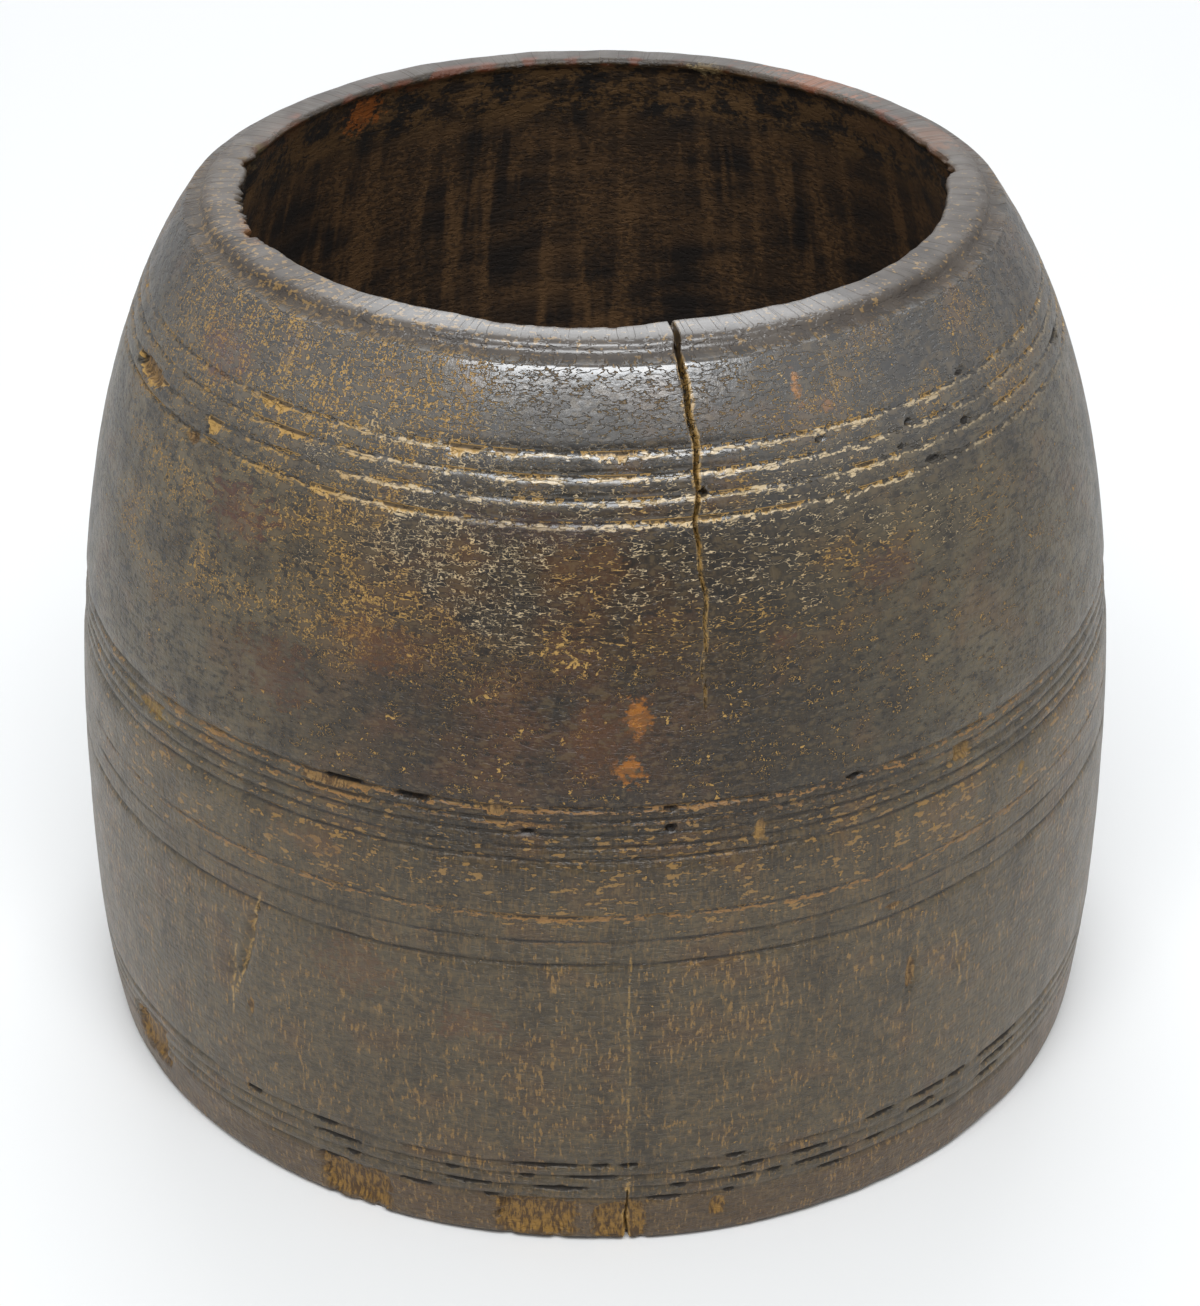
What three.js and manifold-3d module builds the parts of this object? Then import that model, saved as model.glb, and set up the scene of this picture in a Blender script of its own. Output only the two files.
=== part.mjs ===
// A grain measure turned and hollowed from one block of wood, with its floor left in the block.
// Millimetres, +Z up, origin at the middle of the foot. The front, with the long drying crack, faces -Y.
import * as THREE from "three";
import { mergeVertices } from "three/addons/utils/BufferGeometryUtils.js";
import Module from "manifold-3d";

const wasm = await Module();
wasm.setup();

// Outer form: widest a little above the foot, drawn in by the side and once more by the shoulder.
const HEIGHT = 145.7;
const BELLY_RADIUS = 90;
const BELLY_HEIGHT = 24;
const FOOT_DRAW_IN = 1.8;
const SIDE_DRAW_IN = 20.2;
const SIDE_POWER = 2.4;
const SHOULDER_DRAW_IN = 6.1;
const SHOULDER_POWER = 8;
const FOOT_CHAMFER = 0.9;

// The block has moved as it dried, so the rim stands higher at the back than at the front.
const RIM_RISE = 2.2;

// Mouth, lip and hollow.
const MOUTH_RADIUS = 56;
const LIP_WIDTH = 6.6;
const LIP_HEIGHT = 2.2;
const LIP_OUTER_ROUND = 3;
const LIP_INNER_ROUND = 1;
const LIP_CREASE = 0.5;
const BELLY_WALL = 13;
const HOLLOW_POWER = 2.4;
const FLOOR_THICKNESS = 18;
const FLOOR_FILLET = 20;

// Turned lines: every one is a V cut with the point of a chisel.
const LINE_WIDTH = 1.3;
const LINE_DEPTH = 0.5;
const UPPER_BAND_BELOW_RIM = 12.8;
const UPPER_BAND_LINES = 4;
const UPPER_BAND_PITCH = 3;
const MIDDLE_BAND_HEIGHT = 82;
const MIDDLE_BAND_LINES = 5;
const MIDDLE_BAND_PITCH = 2.1;
const MIDDLE_BAND_INSET = 0.25;
const ROLL_HEIGHT = 64.3;
const ROLL_LINES = 3;
const ROLL_PITCH = 4.3;
const ROLL_RISE = 0.35;
const FOOT_BAND_HEIGHT = 9.8;
const FOOT_LINES = 4;
const FOOT_LINE_PITCH = 2.45;

// Drying cracks: angles are degrees round from the front, to the right.
const CRACK_ANGLE = 11;
const CRACK_LENGTH = 47;
const CRACK_WIDTH = 1.1;
const CRACK_DEPTH = 4;
const FOOT_CRACK_ANGLE = 3.3;
const FOOT_CRACK_LENGTH = 16;
const FOOT_CRACK_WIDTH = 1;
const FOOT_CRACK_DEPTH = 3;
const CRACK_WANDER = 0.35;
const WANDER_WAVE = 9;
const WANDER_FADE = 4;
const CRACK_STEP = 5;
const LEAST_CRACK_STEPS = 4;
const CRACK_OVERRUN = 2.2;
const LEAST_OPENING = 0.12;

// Knocks and worn places.
const GASH_LENGTH = 19;
const GASH_HEIGHT = 45.5;
const GASH_ANGLE = -37.3;
const GASH_LEAN = 3.5;
const GASH_WIDTH = 1.9;
const GASH_DEPTH = 1.1;
const NICK_LENGTH = 5.5;
const NICK_HEIGHT = 43.5;
const NICK_ANGLE = 33;
const NICK_WIDTH = 1.5;
const NICK_DEPTH = 0.9;
const CHIP_RISE = 2;
const CHIP_DEPTH = 1.1;
const SLOT_RISE = 1.1;
const SLOT_DEPTH = 1.3;
const FLAKE_DEPTH = 1.2;
const SIDE_FLAKE_BOTTOM = 3.6;
const BITE_DEPTH = 2.4;
const BITE_DROP = 5;

// How far a cutting solid stands out of the wall.
const CUT_CLEARANCE = 13;

// The colour and shine of the old wood.
const WOOD_COLOUR = 0x42372d;
const WOOD_ROUGHNESS = 0.45;

// Fineness of the turned surface.
const SEGMENTS = 60;
const PLAIN_STEP = 9;
const ROUND_STEPS = 4;
const HOLLOW_STEPS = 10;
const SCOOP_SIDES = 8;
const SCOOP_RINGS = 5;
const WELD_DISTANCE = 1e-4;

const DEGREE = Math.PI / 180;
const clamp01 = (t) => Math.min(1, Math.max(0, t));

// How far up from the belly to the rim a height is, from 0 to 1.
const shareAboveBelly = (z) => clamp01((z - BELLY_HEIGHT) / (HEIGHT - BELLY_HEIGHT));

// The bands of turned lines, each from its top line down.
const upperBand = {
  top: HEIGHT - UPPER_BAND_BELOW_RIM,
  lines: UPPER_BAND_LINES,
  pitch: UPPER_BAND_PITCH,
};
const middleBand = {
  top: MIDDLE_BAND_HEIGHT,
  lines: MIDDLE_BAND_LINES,
  pitch: MIDDLE_BAND_PITCH,
};
const rollBand = { top: ROLL_HEIGHT, lines: ROLL_LINES, pitch: ROLL_PITCH };
const footBand = {
  top: FOOT_BAND_HEIGHT + (FOOT_LINES - 1) * FOOT_LINE_PITCH,
  lines: FOOT_LINES,
  pitch: FOOT_LINE_PITCH,
};
const bands = [upperBand, middleBand, rollBand, footBand];
const lineHeight = (band, line) => band.top - line * band.pitch;
const bandBottom = (band) => lineHeight(band, band.lines - 1);

// Plain outer radius, before the lines are cut.
function smoothRadius(z) {
  const up = shareAboveBelly(z);
  const down = clamp01((BELLY_HEIGHT - z) / BELLY_HEIGHT);
  return (
    BELLY_RADIUS -
    FOOT_DRAW_IN * down ** 2 -
    SIDE_DRAW_IN * up ** SIDE_POWER -
    SHOULDER_DRAW_IN * up ** SHOULDER_POWER
  );
}

// The middle band lies a little in, and the strip below it swells into a low roll.
function relief(z) {
  if (z < middleBand.top && z > bandBottom(middleBand)) {
    return -MIDDLE_BAND_INSET;
  }
  const rollHalf = (bandBottom(middleBand) - bandBottom(rollBand)) / 2;
  const rollMiddle = bandBottom(rollBand) + rollHalf;
  const across = (z - rollMiddle) / rollHalf;
  return Math.abs(across) < 1 ? ROLL_RISE * (1 - across ** 2) : 0;
}

const outerRadius = (z) => smoothRadius(z) + relief(z);

// Inner radius of the hollow above the fillet of its floor.
function hollowRadius(z) {
  const widest = BELLY_RADIUS - BELLY_WALL;
  return MOUTH_RADIUS + (widest - MOUTH_RADIUS) * (1 - shareAboveBelly(z) ** HOLLOW_POWER);
}

// Heights and depths of the cuts of all turned lines, from the foot up.
function turnedLines() {
  const lines = bands.flatMap((band) =>
    Array.from({ length: band.lines }, (_, line) => lineHeight(band, line)),
  );
  return lines.sort((a, b) => a - b);
}

// Outer half of the profile, from the edge of the foot to the foot of the lip.
function outerProfile(lipFoot) {
  const points = [new THREE.Vector2(outerRadius(0) - FOOT_CHAMFER, 0)];
  const lines = turnedLines();
  const half = LINE_WIDTH / 2;
  const plain = (from, to) => {
    const steps = Math.max(1, Math.ceil((to - from) / PLAIN_STEP));
    for (let i = 1; i < steps; i++) {
      const z = from + ((to - from) * i) / steps;
      points.push(new THREE.Vector2(outerRadius(z), z));
    }
  };
  let below = FOOT_CHAMFER;
  points.push(new THREE.Vector2(outerRadius(below), below));
  for (const z of lines) {
    plain(below, z - half);
    points.push(new THREE.Vector2(outerRadius(z - half), z - half));
    points.push(new THREE.Vector2(outerRadius(z) - LINE_DEPTH, z));
    points.push(new THREE.Vector2(outerRadius(z + half), z + half));
    below = z + half;
  }
  plain(below, lipFoot);
  return points;
}

// Lip, from the crease at its outer foot over the crest to the mouth.
function lipProfile(lipFoot) {
  const lipRadius = MOUTH_RADIUS + LIP_WIDTH;
  const points = [
    new THREE.Vector2(outerRadius(lipFoot), lipFoot),
    new THREE.Vector2(lipRadius + LIP_CREASE, lipFoot + LIP_CREASE),
  ];
  const fall = LIP_HEIGHT - 2 * LIP_CREASE;
  for (let i = 0; i <= ROUND_STEPS; i++) {
    const turn = (i / ROUND_STEPS) * (Math.PI / 2);
    points.push(
      new THREE.Vector2(
        lipRadius - LIP_OUTER_ROUND * (1 - Math.cos(turn)),
        HEIGHT - fall * (1 - Math.sin(turn)),
      ),
    );
  }
  for (let i = 0; i <= ROUND_STEPS; i++) {
    const turn = (i / ROUND_STEPS) * (Math.PI / 2);
    points.push(
      new THREE.Vector2(
        MOUTH_RADIUS + LIP_INNER_ROUND * (1 - Math.sin(turn)),
        HEIGHT - LIP_INNER_ROUND * (1 - Math.cos(turn)),
      ),
    );
  }
  return points;
}

// Hollow, from under the lip down the wall and round the fillet to the middle of the floor.
function hollowProfile() {
  const points = [];
  const top = HEIGHT - LIP_INNER_ROUND;
  const filletTop = FLOOR_THICKNESS + FLOOR_FILLET;
  for (let i = 1; i <= HOLLOW_STEPS; i++) {
    const z = top + ((filletTop - top) * i) / HOLLOW_STEPS;
    points.push(new THREE.Vector2(hollowRadius(z), z));
  }
  const filletRadius = hollowRadius(filletTop) - FLOOR_FILLET;
  for (let i = 1; i <= ROUND_STEPS; i++) {
    const turn = (i / ROUND_STEPS) * (Math.PI / 2);
    points.push(
      new THREE.Vector2(
        filletRadius + FLOOR_FILLET * Math.cos(turn),
        filletTop - FLOOR_FILLET * Math.sin(turn),
      ),
    );
  }
  points.push(new THREE.Vector2(0, FLOOR_THICKNESS));
  return points;
}

// A closed geometry as a solid that can be cut.
function solidFrom(geometry) {
  const bare = geometry.clone();
  bare.deleteAttribute("normal");
  bare.deleteAttribute("uv");
  const merged = mergeVertices(bare, WELD_DISTANCE);
  return new wasm.Manifold(
    new wasm.Mesh({
      numProp: 3,
      vertProperties: new Float32Array(merged.attributes.position.array),
      triVerts: new Uint32Array(merged.index.array),
    }),
  );
}

// The vessel as it left the lathe.
function turnedVessel() {
  const lipFoot = HEIGHT - LIP_HEIGHT;
  const profile = [
    new THREE.Vector2(0, 0),
    ...outerProfile(lipFoot),
    ...lipProfile(lipFoot),
    ...hollowProfile(),
  ];
  const lathe = new THREE.LatheGeometry(profile, SEGMENTS);
  return solidFrom(lathe.rotateX(Math.PI / 2));
}

// A point at an angle round from the front, a distance from the axis and a height.
const around = (angle, radius, z) =>
  new THREE.Vector3(
    radius * Math.sin(angle * DEGREE),
    -radius * Math.cos(angle * DEGREE),
    z,
  );

// A closed solid through three-cornered sections.
function loft(sections) {
  const positions = sections.flat().flatMap((p) => [p.x, p.y, p.z]);
  const last = (sections.length - 1) * 3;
  const index = [0, 2, 1, last, last + 1, last + 2];
  for (let i = 0; i < last; i += 3) {
    for (let k = 0; k < 3; k++) {
      const next = (k + 1) % 3;
      index.push(i + k, i + next, i + 3 + k);
      index.push(i + next, i + 3 + next, i + 3 + k);
    }
  }
  const geometry = new THREE.BufferGeometry();
  geometry.setAttribute("position", new THREE.Float32BufferAttribute(positions, 3));
  geometry.setIndex(index);
  return solidFrom(geometry);
}

// A V-shaped split that follows the outer surface from one height up to another.
// opening gives the share of the full width along it, from 0 at the bottom to 1 at the top.
function split({ angle, lean = 0, bottom, top, width, depth, wander = 0, opening }) {
  const steps = Math.max(LEAST_CRACK_STEPS, Math.round((top - bottom) / CRACK_STEP));
  const sections = [];
  for (let i = 0; i <= steps; i++) {
    const along = i / steps;
    const z = bottom + (top - bottom) * along;
    const surface = outerRadius(z);
    const side = wander * Math.sin(along * WANDER_WAVE) * Math.cos(along * WANDER_FADE);
    const turn = angle + lean * (along - 0.5) + side / (surface * DEGREE);
    const share = opening(along);
    const spread = (share * width) / 2 / (surface * DEGREE);
    const flare = (surface + CUT_CLEARANCE) / surface;
    const wide = spread * (1 + CUT_CLEARANCE / depth);
    sections.push([
      around(turn, surface - depth * share, z),
      around(turn - wide, surface * flare, z),
      around(turn + wide, surface * flare, z),
    ]);
  }
  return loft(sections);
}

// Opens upwards and runs out at the bottom, or the other way round, or closes at both ends.
const opensUp = (along) => Math.max(LEAST_OPENING, Math.sqrt(along));
const opensDown = (along) => Math.max(LEAST_OPENING, Math.sqrt(1 - along));
const closesAtEnds = (along) => Math.max(LEAST_OPENING, Math.sin(Math.PI * along));

// A scooped hollow: length runs round the vessel, depth inwards and rise up.
function scoop(angle, radius, z, length, depth, rise) {
  const ball = new THREE.SphereGeometry(1, SCOOP_SIDES, SCOOP_RINGS);
  ball.rotateX(Math.PI / 2);
  ball.scale(length / 2, depth, rise / 2);
  ball.rotateZ(angle * DEGREE);
  ball.translate(...around(angle, radius, z).toArray());
  return solidFrom(ball);
}

// Flat splinters lost from the foot along the grain: each has an angle, a width and its two heights.
function flake(angle, width, bottom, top) {
  const outside = BELLY_RADIUS;
  const face = smoothRadius(FOOT_BAND_HEIGHT / 2) - FLAKE_DEPTH;
  const slab = new THREE.BoxGeometry(width, outside - face, top - bottom);
  slab.translate(0, -(outside + face) / 2, (top + bottom) / 2);
  slab.rotateZ(angle * DEGREE);
  return solidFrom(slab);
}

// Where the turned lines have crumbled: chips in the upper band and slots in the middle band.
const chips = [
  { band: upperBand, line: 2, angle: -65, length: 17 },
  { band: upperBand, line: 3, angle: -50, length: 6 },
  { band: upperBand, line: 0, angle: -39, length: 7 },
  { band: upperBand, line: 3, angle: -19.5, length: 11 },
  { band: upperBand, line: 0, angle: -13.5, length: 10 },
  { band: upperBand, line: 0, angle: 1.5, length: 8 },
  { band: upperBand, line: 3, angle: 20, length: 13 },
  { band: upperBand, line: 2, angle: 75, length: 8 },
];
const slots = [
  { band: middleBand, line: 0, angle: -26, length: 10 },
  { band: middleBand, line: 0, angle: -18, length: 6 },
  { band: middleBand, line: 0, angle: 26.3, length: 4 },
  { band: middleBand, line: 1, angle: 39.8, length: 4 },
];
const flakes = [
  { angle: -25.5, width: 12.6, bottom: FOOT_CHAMFER, top: FOOT_BAND_HEIGHT },
  { angle: -2.7, width: 22, bottom: FOOT_CHAMFER, top: FOOT_BAND_HEIGHT },
  { angle: -57.7, width: 12, bottom: SIDE_FLAKE_BOTTOM, top: lineHeight(footBand, 1) },
];
const bites = [
  { angle: -66, length: 9 },
  { angle: -93, length: 14 },
  { angle: 92, length: 12 },
];

// Everything that age has taken away from the turned vessel.
function wornAway() {
  const cuts = [
    split({
      angle: CRACK_ANGLE,
      bottom: HEIGHT - CRACK_LENGTH,
      top: HEIGHT + CRACK_OVERRUN,
      width: CRACK_WIDTH,
      depth: CRACK_DEPTH,
      wander: CRACK_WANDER,
      opening: opensUp,
    }),
    split({
      angle: FOOT_CRACK_ANGLE,
      bottom: -CRACK_OVERRUN,
      top: FOOT_CRACK_LENGTH,
      width: FOOT_CRACK_WIDTH,
      depth: FOOT_CRACK_DEPTH,
      opening: opensDown,
    }),
    split({
      angle: GASH_ANGLE,
      lean: GASH_LEAN,
      bottom: GASH_HEIGHT - GASH_LENGTH / 2,
      top: GASH_HEIGHT + GASH_LENGTH / 2,
      width: GASH_WIDTH,
      depth: GASH_DEPTH,
      opening: closesAtEnds,
    }),
    split({
      angle: NICK_ANGLE,
      bottom: NICK_HEIGHT - NICK_LENGTH / 2,
      top: NICK_HEIGHT + NICK_LENGTH / 2,
      width: NICK_WIDTH,
      depth: NICK_DEPTH,
      opening: closesAtEnds,
    }),
  ];
  for (const { band, line, angle, length } of chips) {
    const z = lineHeight(band, line);
    cuts.push(scoop(angle, outerRadius(z), z, length, CHIP_DEPTH, CHIP_RISE));
  }
  for (const { band, line, angle, length } of slots) {
    const z = lineHeight(band, line);
    cuts.push(scoop(angle, outerRadius(z), z, length, SLOT_DEPTH, SLOT_RISE));
  }
  for (const { angle, width, bottom, top } of flakes) {
    cuts.push(flake(angle, width, bottom, top));
  }
  for (const { angle, length } of bites) {
    cuts.push(scoop(angle, MOUTH_RADIUS, HEIGHT, length, BITE_DEPTH, 2 * BITE_DROP));
  }
  return cuts;
}

// The finished surface, leaned so that the rim rises towards the back.
function leanedGeometry(solid) {
  const mesh = solid.getMesh();
  const positions = new Float32Array(mesh.vertProperties);
  const lipRadius = MOUTH_RADIUS + LIP_WIDTH;
  for (let i = 0; i < positions.length; i += 3) {
    const lift = shareAboveBelly(positions[i + 2]) ** 2;
    positions[i + 2] += ((RIM_RISE / 2) * lift * positions[i + 1]) / lipRadius;
  }
  const geometry = new THREE.BufferGeometry();
  geometry.setAttribute("position", new THREE.BufferAttribute(positions, 3));
  geometry.setIndex(new THREE.BufferAttribute(new Uint32Array(mesh.triVerts), 1));
  geometry.computeVertexNormals();
  return geometry;
}

const oldWood = new THREE.MeshStandardMaterial({
  color: WOOD_COLOUR,
  roughness: WOOD_ROUGHNESS,
  metalness: 0,
});

let body = turnedVessel();
for (const cut of wornAway()) {
  body = body.subtract(cut);
}

const measureBody = new THREE.Mesh(leanedGeometry(body), oldWood);
measureBody.name = "measure_body";

const grainMeasure = new THREE.Group();
grainMeasure.add(measureBody);

export default grainMeasure;
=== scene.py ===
# %% [markdown]
# # A grain measure turned from one block of wood
#
# This lesson dresses a plain solid model of an old grain measure. The real one is a thick vessel that was
# turned on a lathe and hollowed out, with bands of lines cut in its wall. It has dried, split, chipped and
# darkened with use. The solid model gives the true size, and everything here stays inside its box.
#
# The steps are: load the frame, draw the turned profile, lay out a sheet of points, let Geometry Nodes turn
# the sheet into the vessel and wear it, then give the old wood its finish, and light it.

import math

import bpy
import numpy as np
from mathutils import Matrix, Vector


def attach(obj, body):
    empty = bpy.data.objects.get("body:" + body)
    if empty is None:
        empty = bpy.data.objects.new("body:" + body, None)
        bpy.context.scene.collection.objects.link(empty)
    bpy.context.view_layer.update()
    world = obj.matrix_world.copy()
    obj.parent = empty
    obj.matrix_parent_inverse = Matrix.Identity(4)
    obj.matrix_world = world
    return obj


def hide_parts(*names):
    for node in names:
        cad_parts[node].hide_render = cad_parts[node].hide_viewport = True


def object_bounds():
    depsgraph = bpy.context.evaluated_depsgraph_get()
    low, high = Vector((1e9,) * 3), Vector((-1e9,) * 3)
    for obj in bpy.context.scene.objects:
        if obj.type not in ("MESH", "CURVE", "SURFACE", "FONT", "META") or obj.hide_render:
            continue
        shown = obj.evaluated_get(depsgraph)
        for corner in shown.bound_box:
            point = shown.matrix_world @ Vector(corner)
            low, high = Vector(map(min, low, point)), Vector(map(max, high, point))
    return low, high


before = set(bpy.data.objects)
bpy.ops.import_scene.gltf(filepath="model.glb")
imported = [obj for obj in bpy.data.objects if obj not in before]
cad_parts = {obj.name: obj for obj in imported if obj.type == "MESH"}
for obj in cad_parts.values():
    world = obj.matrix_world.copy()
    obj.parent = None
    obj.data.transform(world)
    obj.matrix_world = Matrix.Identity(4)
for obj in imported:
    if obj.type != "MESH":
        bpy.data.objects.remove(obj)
cad_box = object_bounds()
print("frame box:", [[round(v, 4) for v in corner] for corner in cad_box])

# %% [markdown]
# ## The turned form
#
# A turner works from a few sizes: the height, the widest place, how far the side draws in, and the width of
# the lip. The same sizes are kept here as names, in millimetres, so that the form can be read and changed.
# The wall is widest a little above the foot. It draws in by a gentle power of the height, and once more by a
# steep power, which makes the rounded shoulder.

# %% Sizes of the form
HEIGHT = 145.7
BELLY_RADIUS = 90.0
BELLY_HEIGHT = 24.0
FOOT_DRAW_IN = 1.8
SIDE_DRAW_IN = 20.2
SIDE_POWER = 2.4
SHOULDER_DRAW_IN = 6.1
SHOULDER_POWER = 8
MOUTH_RADIUS = 56.0
LIP_WIDTH = 6.6
LIP_HEIGHT = 2.2
LIP_CREASE = 0.5
LIP_OUTER_ROUND = 2.6
LIP_INNER_ROUND = 1.0
BELLY_WALL = 13.0
HOLLOW_POWER = 2.4
FLOOR_THICKNESS = 18.0
FLOOR_FILLET = 20.0
FOOT_CHAMFER = 0.9
RIM_RISE = 2.2
# The top of the solid model less a hair, so that no crumb on the lip stands out of its box.
TOP = cad_box[1][2] * 1000 - 0.02


def wall_radius(height):
    """Radius of the smooth outer wall at a height, in millimetres."""
    up = np.clip((height - BELLY_HEIGHT) / (HEIGHT - BELLY_HEIGHT), 0, 1)
    down = np.clip((BELLY_HEIGHT - height) / BELLY_HEIGHT, 0, 1)
    side = SIDE_DRAW_IN * up**SIDE_POWER
    shoulder = SHOULDER_DRAW_IN * up**SHOULDER_POWER
    return BELLY_RADIUS - FOOT_DRAW_IN * down**2 - side - shoulder


def hollow_radius(height):
    """Radius of the hollow at a height above the fillet of its floor."""
    up = np.clip((height - BELLY_HEIGHT) / (HEIGHT - BELLY_HEIGHT), 0, 1)
    widest = BELLY_RADIUS - BELLY_WALL
    return MOUTH_RADIUS + (widest - MOUTH_RADIUS) * (1 - up**HOLLOW_POWER)


print("radius at the shoulder:", round(float(wall_radius(HEIGHT - LIP_HEIGHT)), 1))

# %% [markdown]
# ## Bands of turned lines
#
# The lines are pairs and fours of fine V cuts, made with the point of a chisel while the block turned. There
# are four bands. Each is a rule: a top line, a number of lines and a pitch. Reach says how far the crumbs
# below its lines hang, and fade how much less each lower line has worn. Rules are shorter than lists, and the
# shader can follow the same rule later, so the colour sits exactly in the cut.

# %% The four bands
LINE_WIDTH = 1.3
LINE_DEPTH = 0.42
UPPER_BAND = {"top": 132.9, "lines": 4, "pitch": 3.0, "reach": 0.8, "fade": 0.0}
MIDDLE_BAND = {"top": 82.0, "lines": 5, "pitch": 2.1, "reach": 0.5, "fade": 0.45}
ROLL_BAND = {"top": 64.3, "lines": 3, "pitch": 4.3, "reach": 0.6, "fade": 0.6}
FOOT_BAND = {"top": 17.15, "lines": 4, "pitch": 2.45, "reach": 0.0, "fade": 0.0}
BANDS = [UPPER_BAND, MIDDLE_BAND, ROLL_BAND, FOOT_BAND]


def line_heights(band):
    return [band["top"] - band["pitch"] * i for i in range(band["lines"])]


for band in BANDS:
    print("lines at", [round(z, 2) for z in line_heights(band)])

# %% [markdown]
# ## Rows of the sheet
#
# A lathe form is a profile carried round an axis, so its mesh is rows (one for each height) and columns (one
# for each angle). Rows are dense where lines are cut and sparse where the wall is plain. A row also has a
# fineness: 0 uses every column, 1 every second and 2 every fourth. That keeps the faces for the places where
# small shapes are, since one piece should stay under 200,000 triangles.


# %% Heights of the outer wall
def fill_gaps(heights, widest_gap):
    """Adds even heights between those given, so that no gap is wider than the function allows."""
    filled = [heights[0]]
    for above in heights[1:]:
        below = filled[-1]
        steps = max(1, math.ceil((above - below) / widest_gap((above + below) / 2) - 1e-6))
        filled += [below + (above - below) * i / steps for i in range(1, steps + 1)]
    return filled


def in_band(height, margin=1.0):
    return any(line_heights(band)[-1] - margin <= height <= band["top"] + margin for band in BANDS)


def wall_gap(height):
    if in_band(height) or 119 < height < 134:
        return 0.62
    return 1.0 if height < 20 or height > 134 else 1.6


line_rows = [
    z + share * LINE_WIDTH
    for band in BANDS
    for z in line_heights(band)
    for share in (-0.5, -0.25, 0, 0.25, 0.5)
]
wall_heights = fill_gaps(
    sorted([FOOT_CHAMFER, 120.0, HEIGHT - LIP_HEIGHT - 0.4, *line_rows]), wall_gap
)
print("rows on the wall:", len(wall_heights))

# %% [markdown]
# ## The whole profile
#
# The profile runs from the middle of the underside, round the foot, up the wall, over the lip, down the
# hollow and across the floor. Each row carries its radius, its height and four shares that say what it is:
# wall, lip, mouth and hollow. The node tree reads these as attributes.

# %% Rows of the profile
rows = []


def add_row(radius, height, fineness, wall=0.0, lip=0.0, mouth=0.0, hollow=0.0):
    rows.append((float(radius), float(height), fineness, wall, lip, mouth, hollow))


foot_radius = float(wall_radius(0)) - FOOT_CHAMFER
add_row(0, 0, 2)
for share in (0.3, 0.6, 0.85):
    add_row(foot_radius * share, 0, 2)
add_row(foot_radius - 3, 0, 1)
add_row(foot_radius - 0.8, 0, 0, wall=0.2)
add_row(foot_radius, 0.05, 0, wall=0.6)
for height in wall_heights:
    fine = in_band(height, 2) or height < 20 or height > 119
    add_row(wall_radius(height), height, 0 if fine else 1, wall=1)

lip_foot = HEIGHT - LIP_HEIGHT
lip_outside = MOUTH_RADIUS + LIP_WIDTH
add_row(float(wall_radius(lip_foot)) - 0.15, lip_foot, 0, wall=0.8, lip=0.3)
add_row(lip_outside + LIP_CREASE, lip_foot + 0.3, 0, wall=0.3, lip=0.8)
for i in range(6):
    turn = i / 5 * math.pi / 2
    height = HEIGHT - (LIP_HEIGHT - 2 * LIP_CREASE) * (1 - math.sin(turn))
    add_row(lip_outside - LIP_OUTER_ROUND * (1 - math.cos(turn)), height, 0, lip=1)
add_row(MOUTH_RADIUS + 2.6, HEIGHT + 0.02, 0, lip=1, mouth=0.15)
for i in range(5):
    turn = i / 4 * math.pi / 2
    height = HEIGHT - LIP_INNER_ROUND * (1 - math.cos(turn))
    radius = MOUTH_RADIUS + LIP_INNER_ROUND * (1 - math.sin(turn))
    add_row(radius, height, 0, lip=1 - i / 5, mouth=0.5 + i / 8)

fillet_top = FLOOR_THICKNESS + FLOOR_FILLET
depth = 1.0
while HEIGHT - depth > fillet_top + 3:
    depth += 0.7 if depth < 10 else 2.6
    height = HEIGHT - depth
    fade = min(1.0, max(0.0, (14 - depth) / 8))
    fineness = 0 if depth < 10 else 1 if depth < 13 else 2
    add_row(hollow_radius(height), height, fineness, mouth=fade, hollow=1)
fillet_radius = float(hollow_radius(fillet_top)) - FLOOR_FILLET
for i in range(9):
    turn = i / 8 * math.pi / 2
    add_row(
        fillet_radius + FLOOR_FILLET * math.cos(turn),
        fillet_top - FLOOR_FILLET * math.sin(turn),
        2,
        hollow=1,
    )
for share in (0.75, 0.5, 0.25, 0):
    add_row(fillet_radius * share, FLOOR_THICKNESS, 2, hollow=1)
print("rows in all:", len(rows))

# %% [markdown]
# ## Columns of the sheet
#
# The columns stand closer together on the front, where the lines have crumbled most, and closest of all
# along the drying cracks, because a split a millimetre wide needs several columns of its own. The angles are
# placed by a density: where it is high, more of the even steps fall.

# %% Angles of the columns
COLUMNS = 504
CRACK_ANGLE = 11.0
FOOT_CRACK_ANGLE = 3.3
GASH_ANGLE = -37.3
NICK_ANGLE = 33.0


def column_density(angle):
    """Columns per degree wanted at an angle round from the front, to the right."""
    density = np.where(np.abs(angle) < 98, 2.1, 0.62)
    for middle, reach, extra in (
        (CRACK_ANGLE, 0.9, 9),
        (FOOT_CRACK_ANGLE, 0.6, 8),
        (GASH_ANGLE, 2.6, 2.4),
        (NICK_ANGLE, 1.0, 3.5),
    ):
        density = density + extra * np.exp(-(((angle - middle) / reach) ** 2))
    return density


fine_angles = np.linspace(-180, 180, 36001)
running = np.concatenate([[0], np.cumsum(column_density(fine_angles[:-1]))])
angles = np.interp(np.arange(COLUMNS) / COLUMNS * running[-1], running, fine_angles)
print("closest columns, degrees:", round(float(np.diff(angles).min()), 3))

# %% [markdown]
# ## The sheet
#
# Points of neighbouring rows are joined by faces. Where the fineness changes, one wide face takes an extra
# corner, so the sheet stays closed without a gap. The first and last rows are single points, the poles on
# the axis. At this stage the points only carry numbers; the node tree gives them their place.


# %% Build the sheet
def row_points(row, start):
    """Column numbers of a row's points, and the index of its first point."""
    step = 2 ** rows[row][2]
    return {c: start + i for i, c in enumerate(range(0, COLUMNS, step))}, step


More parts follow.
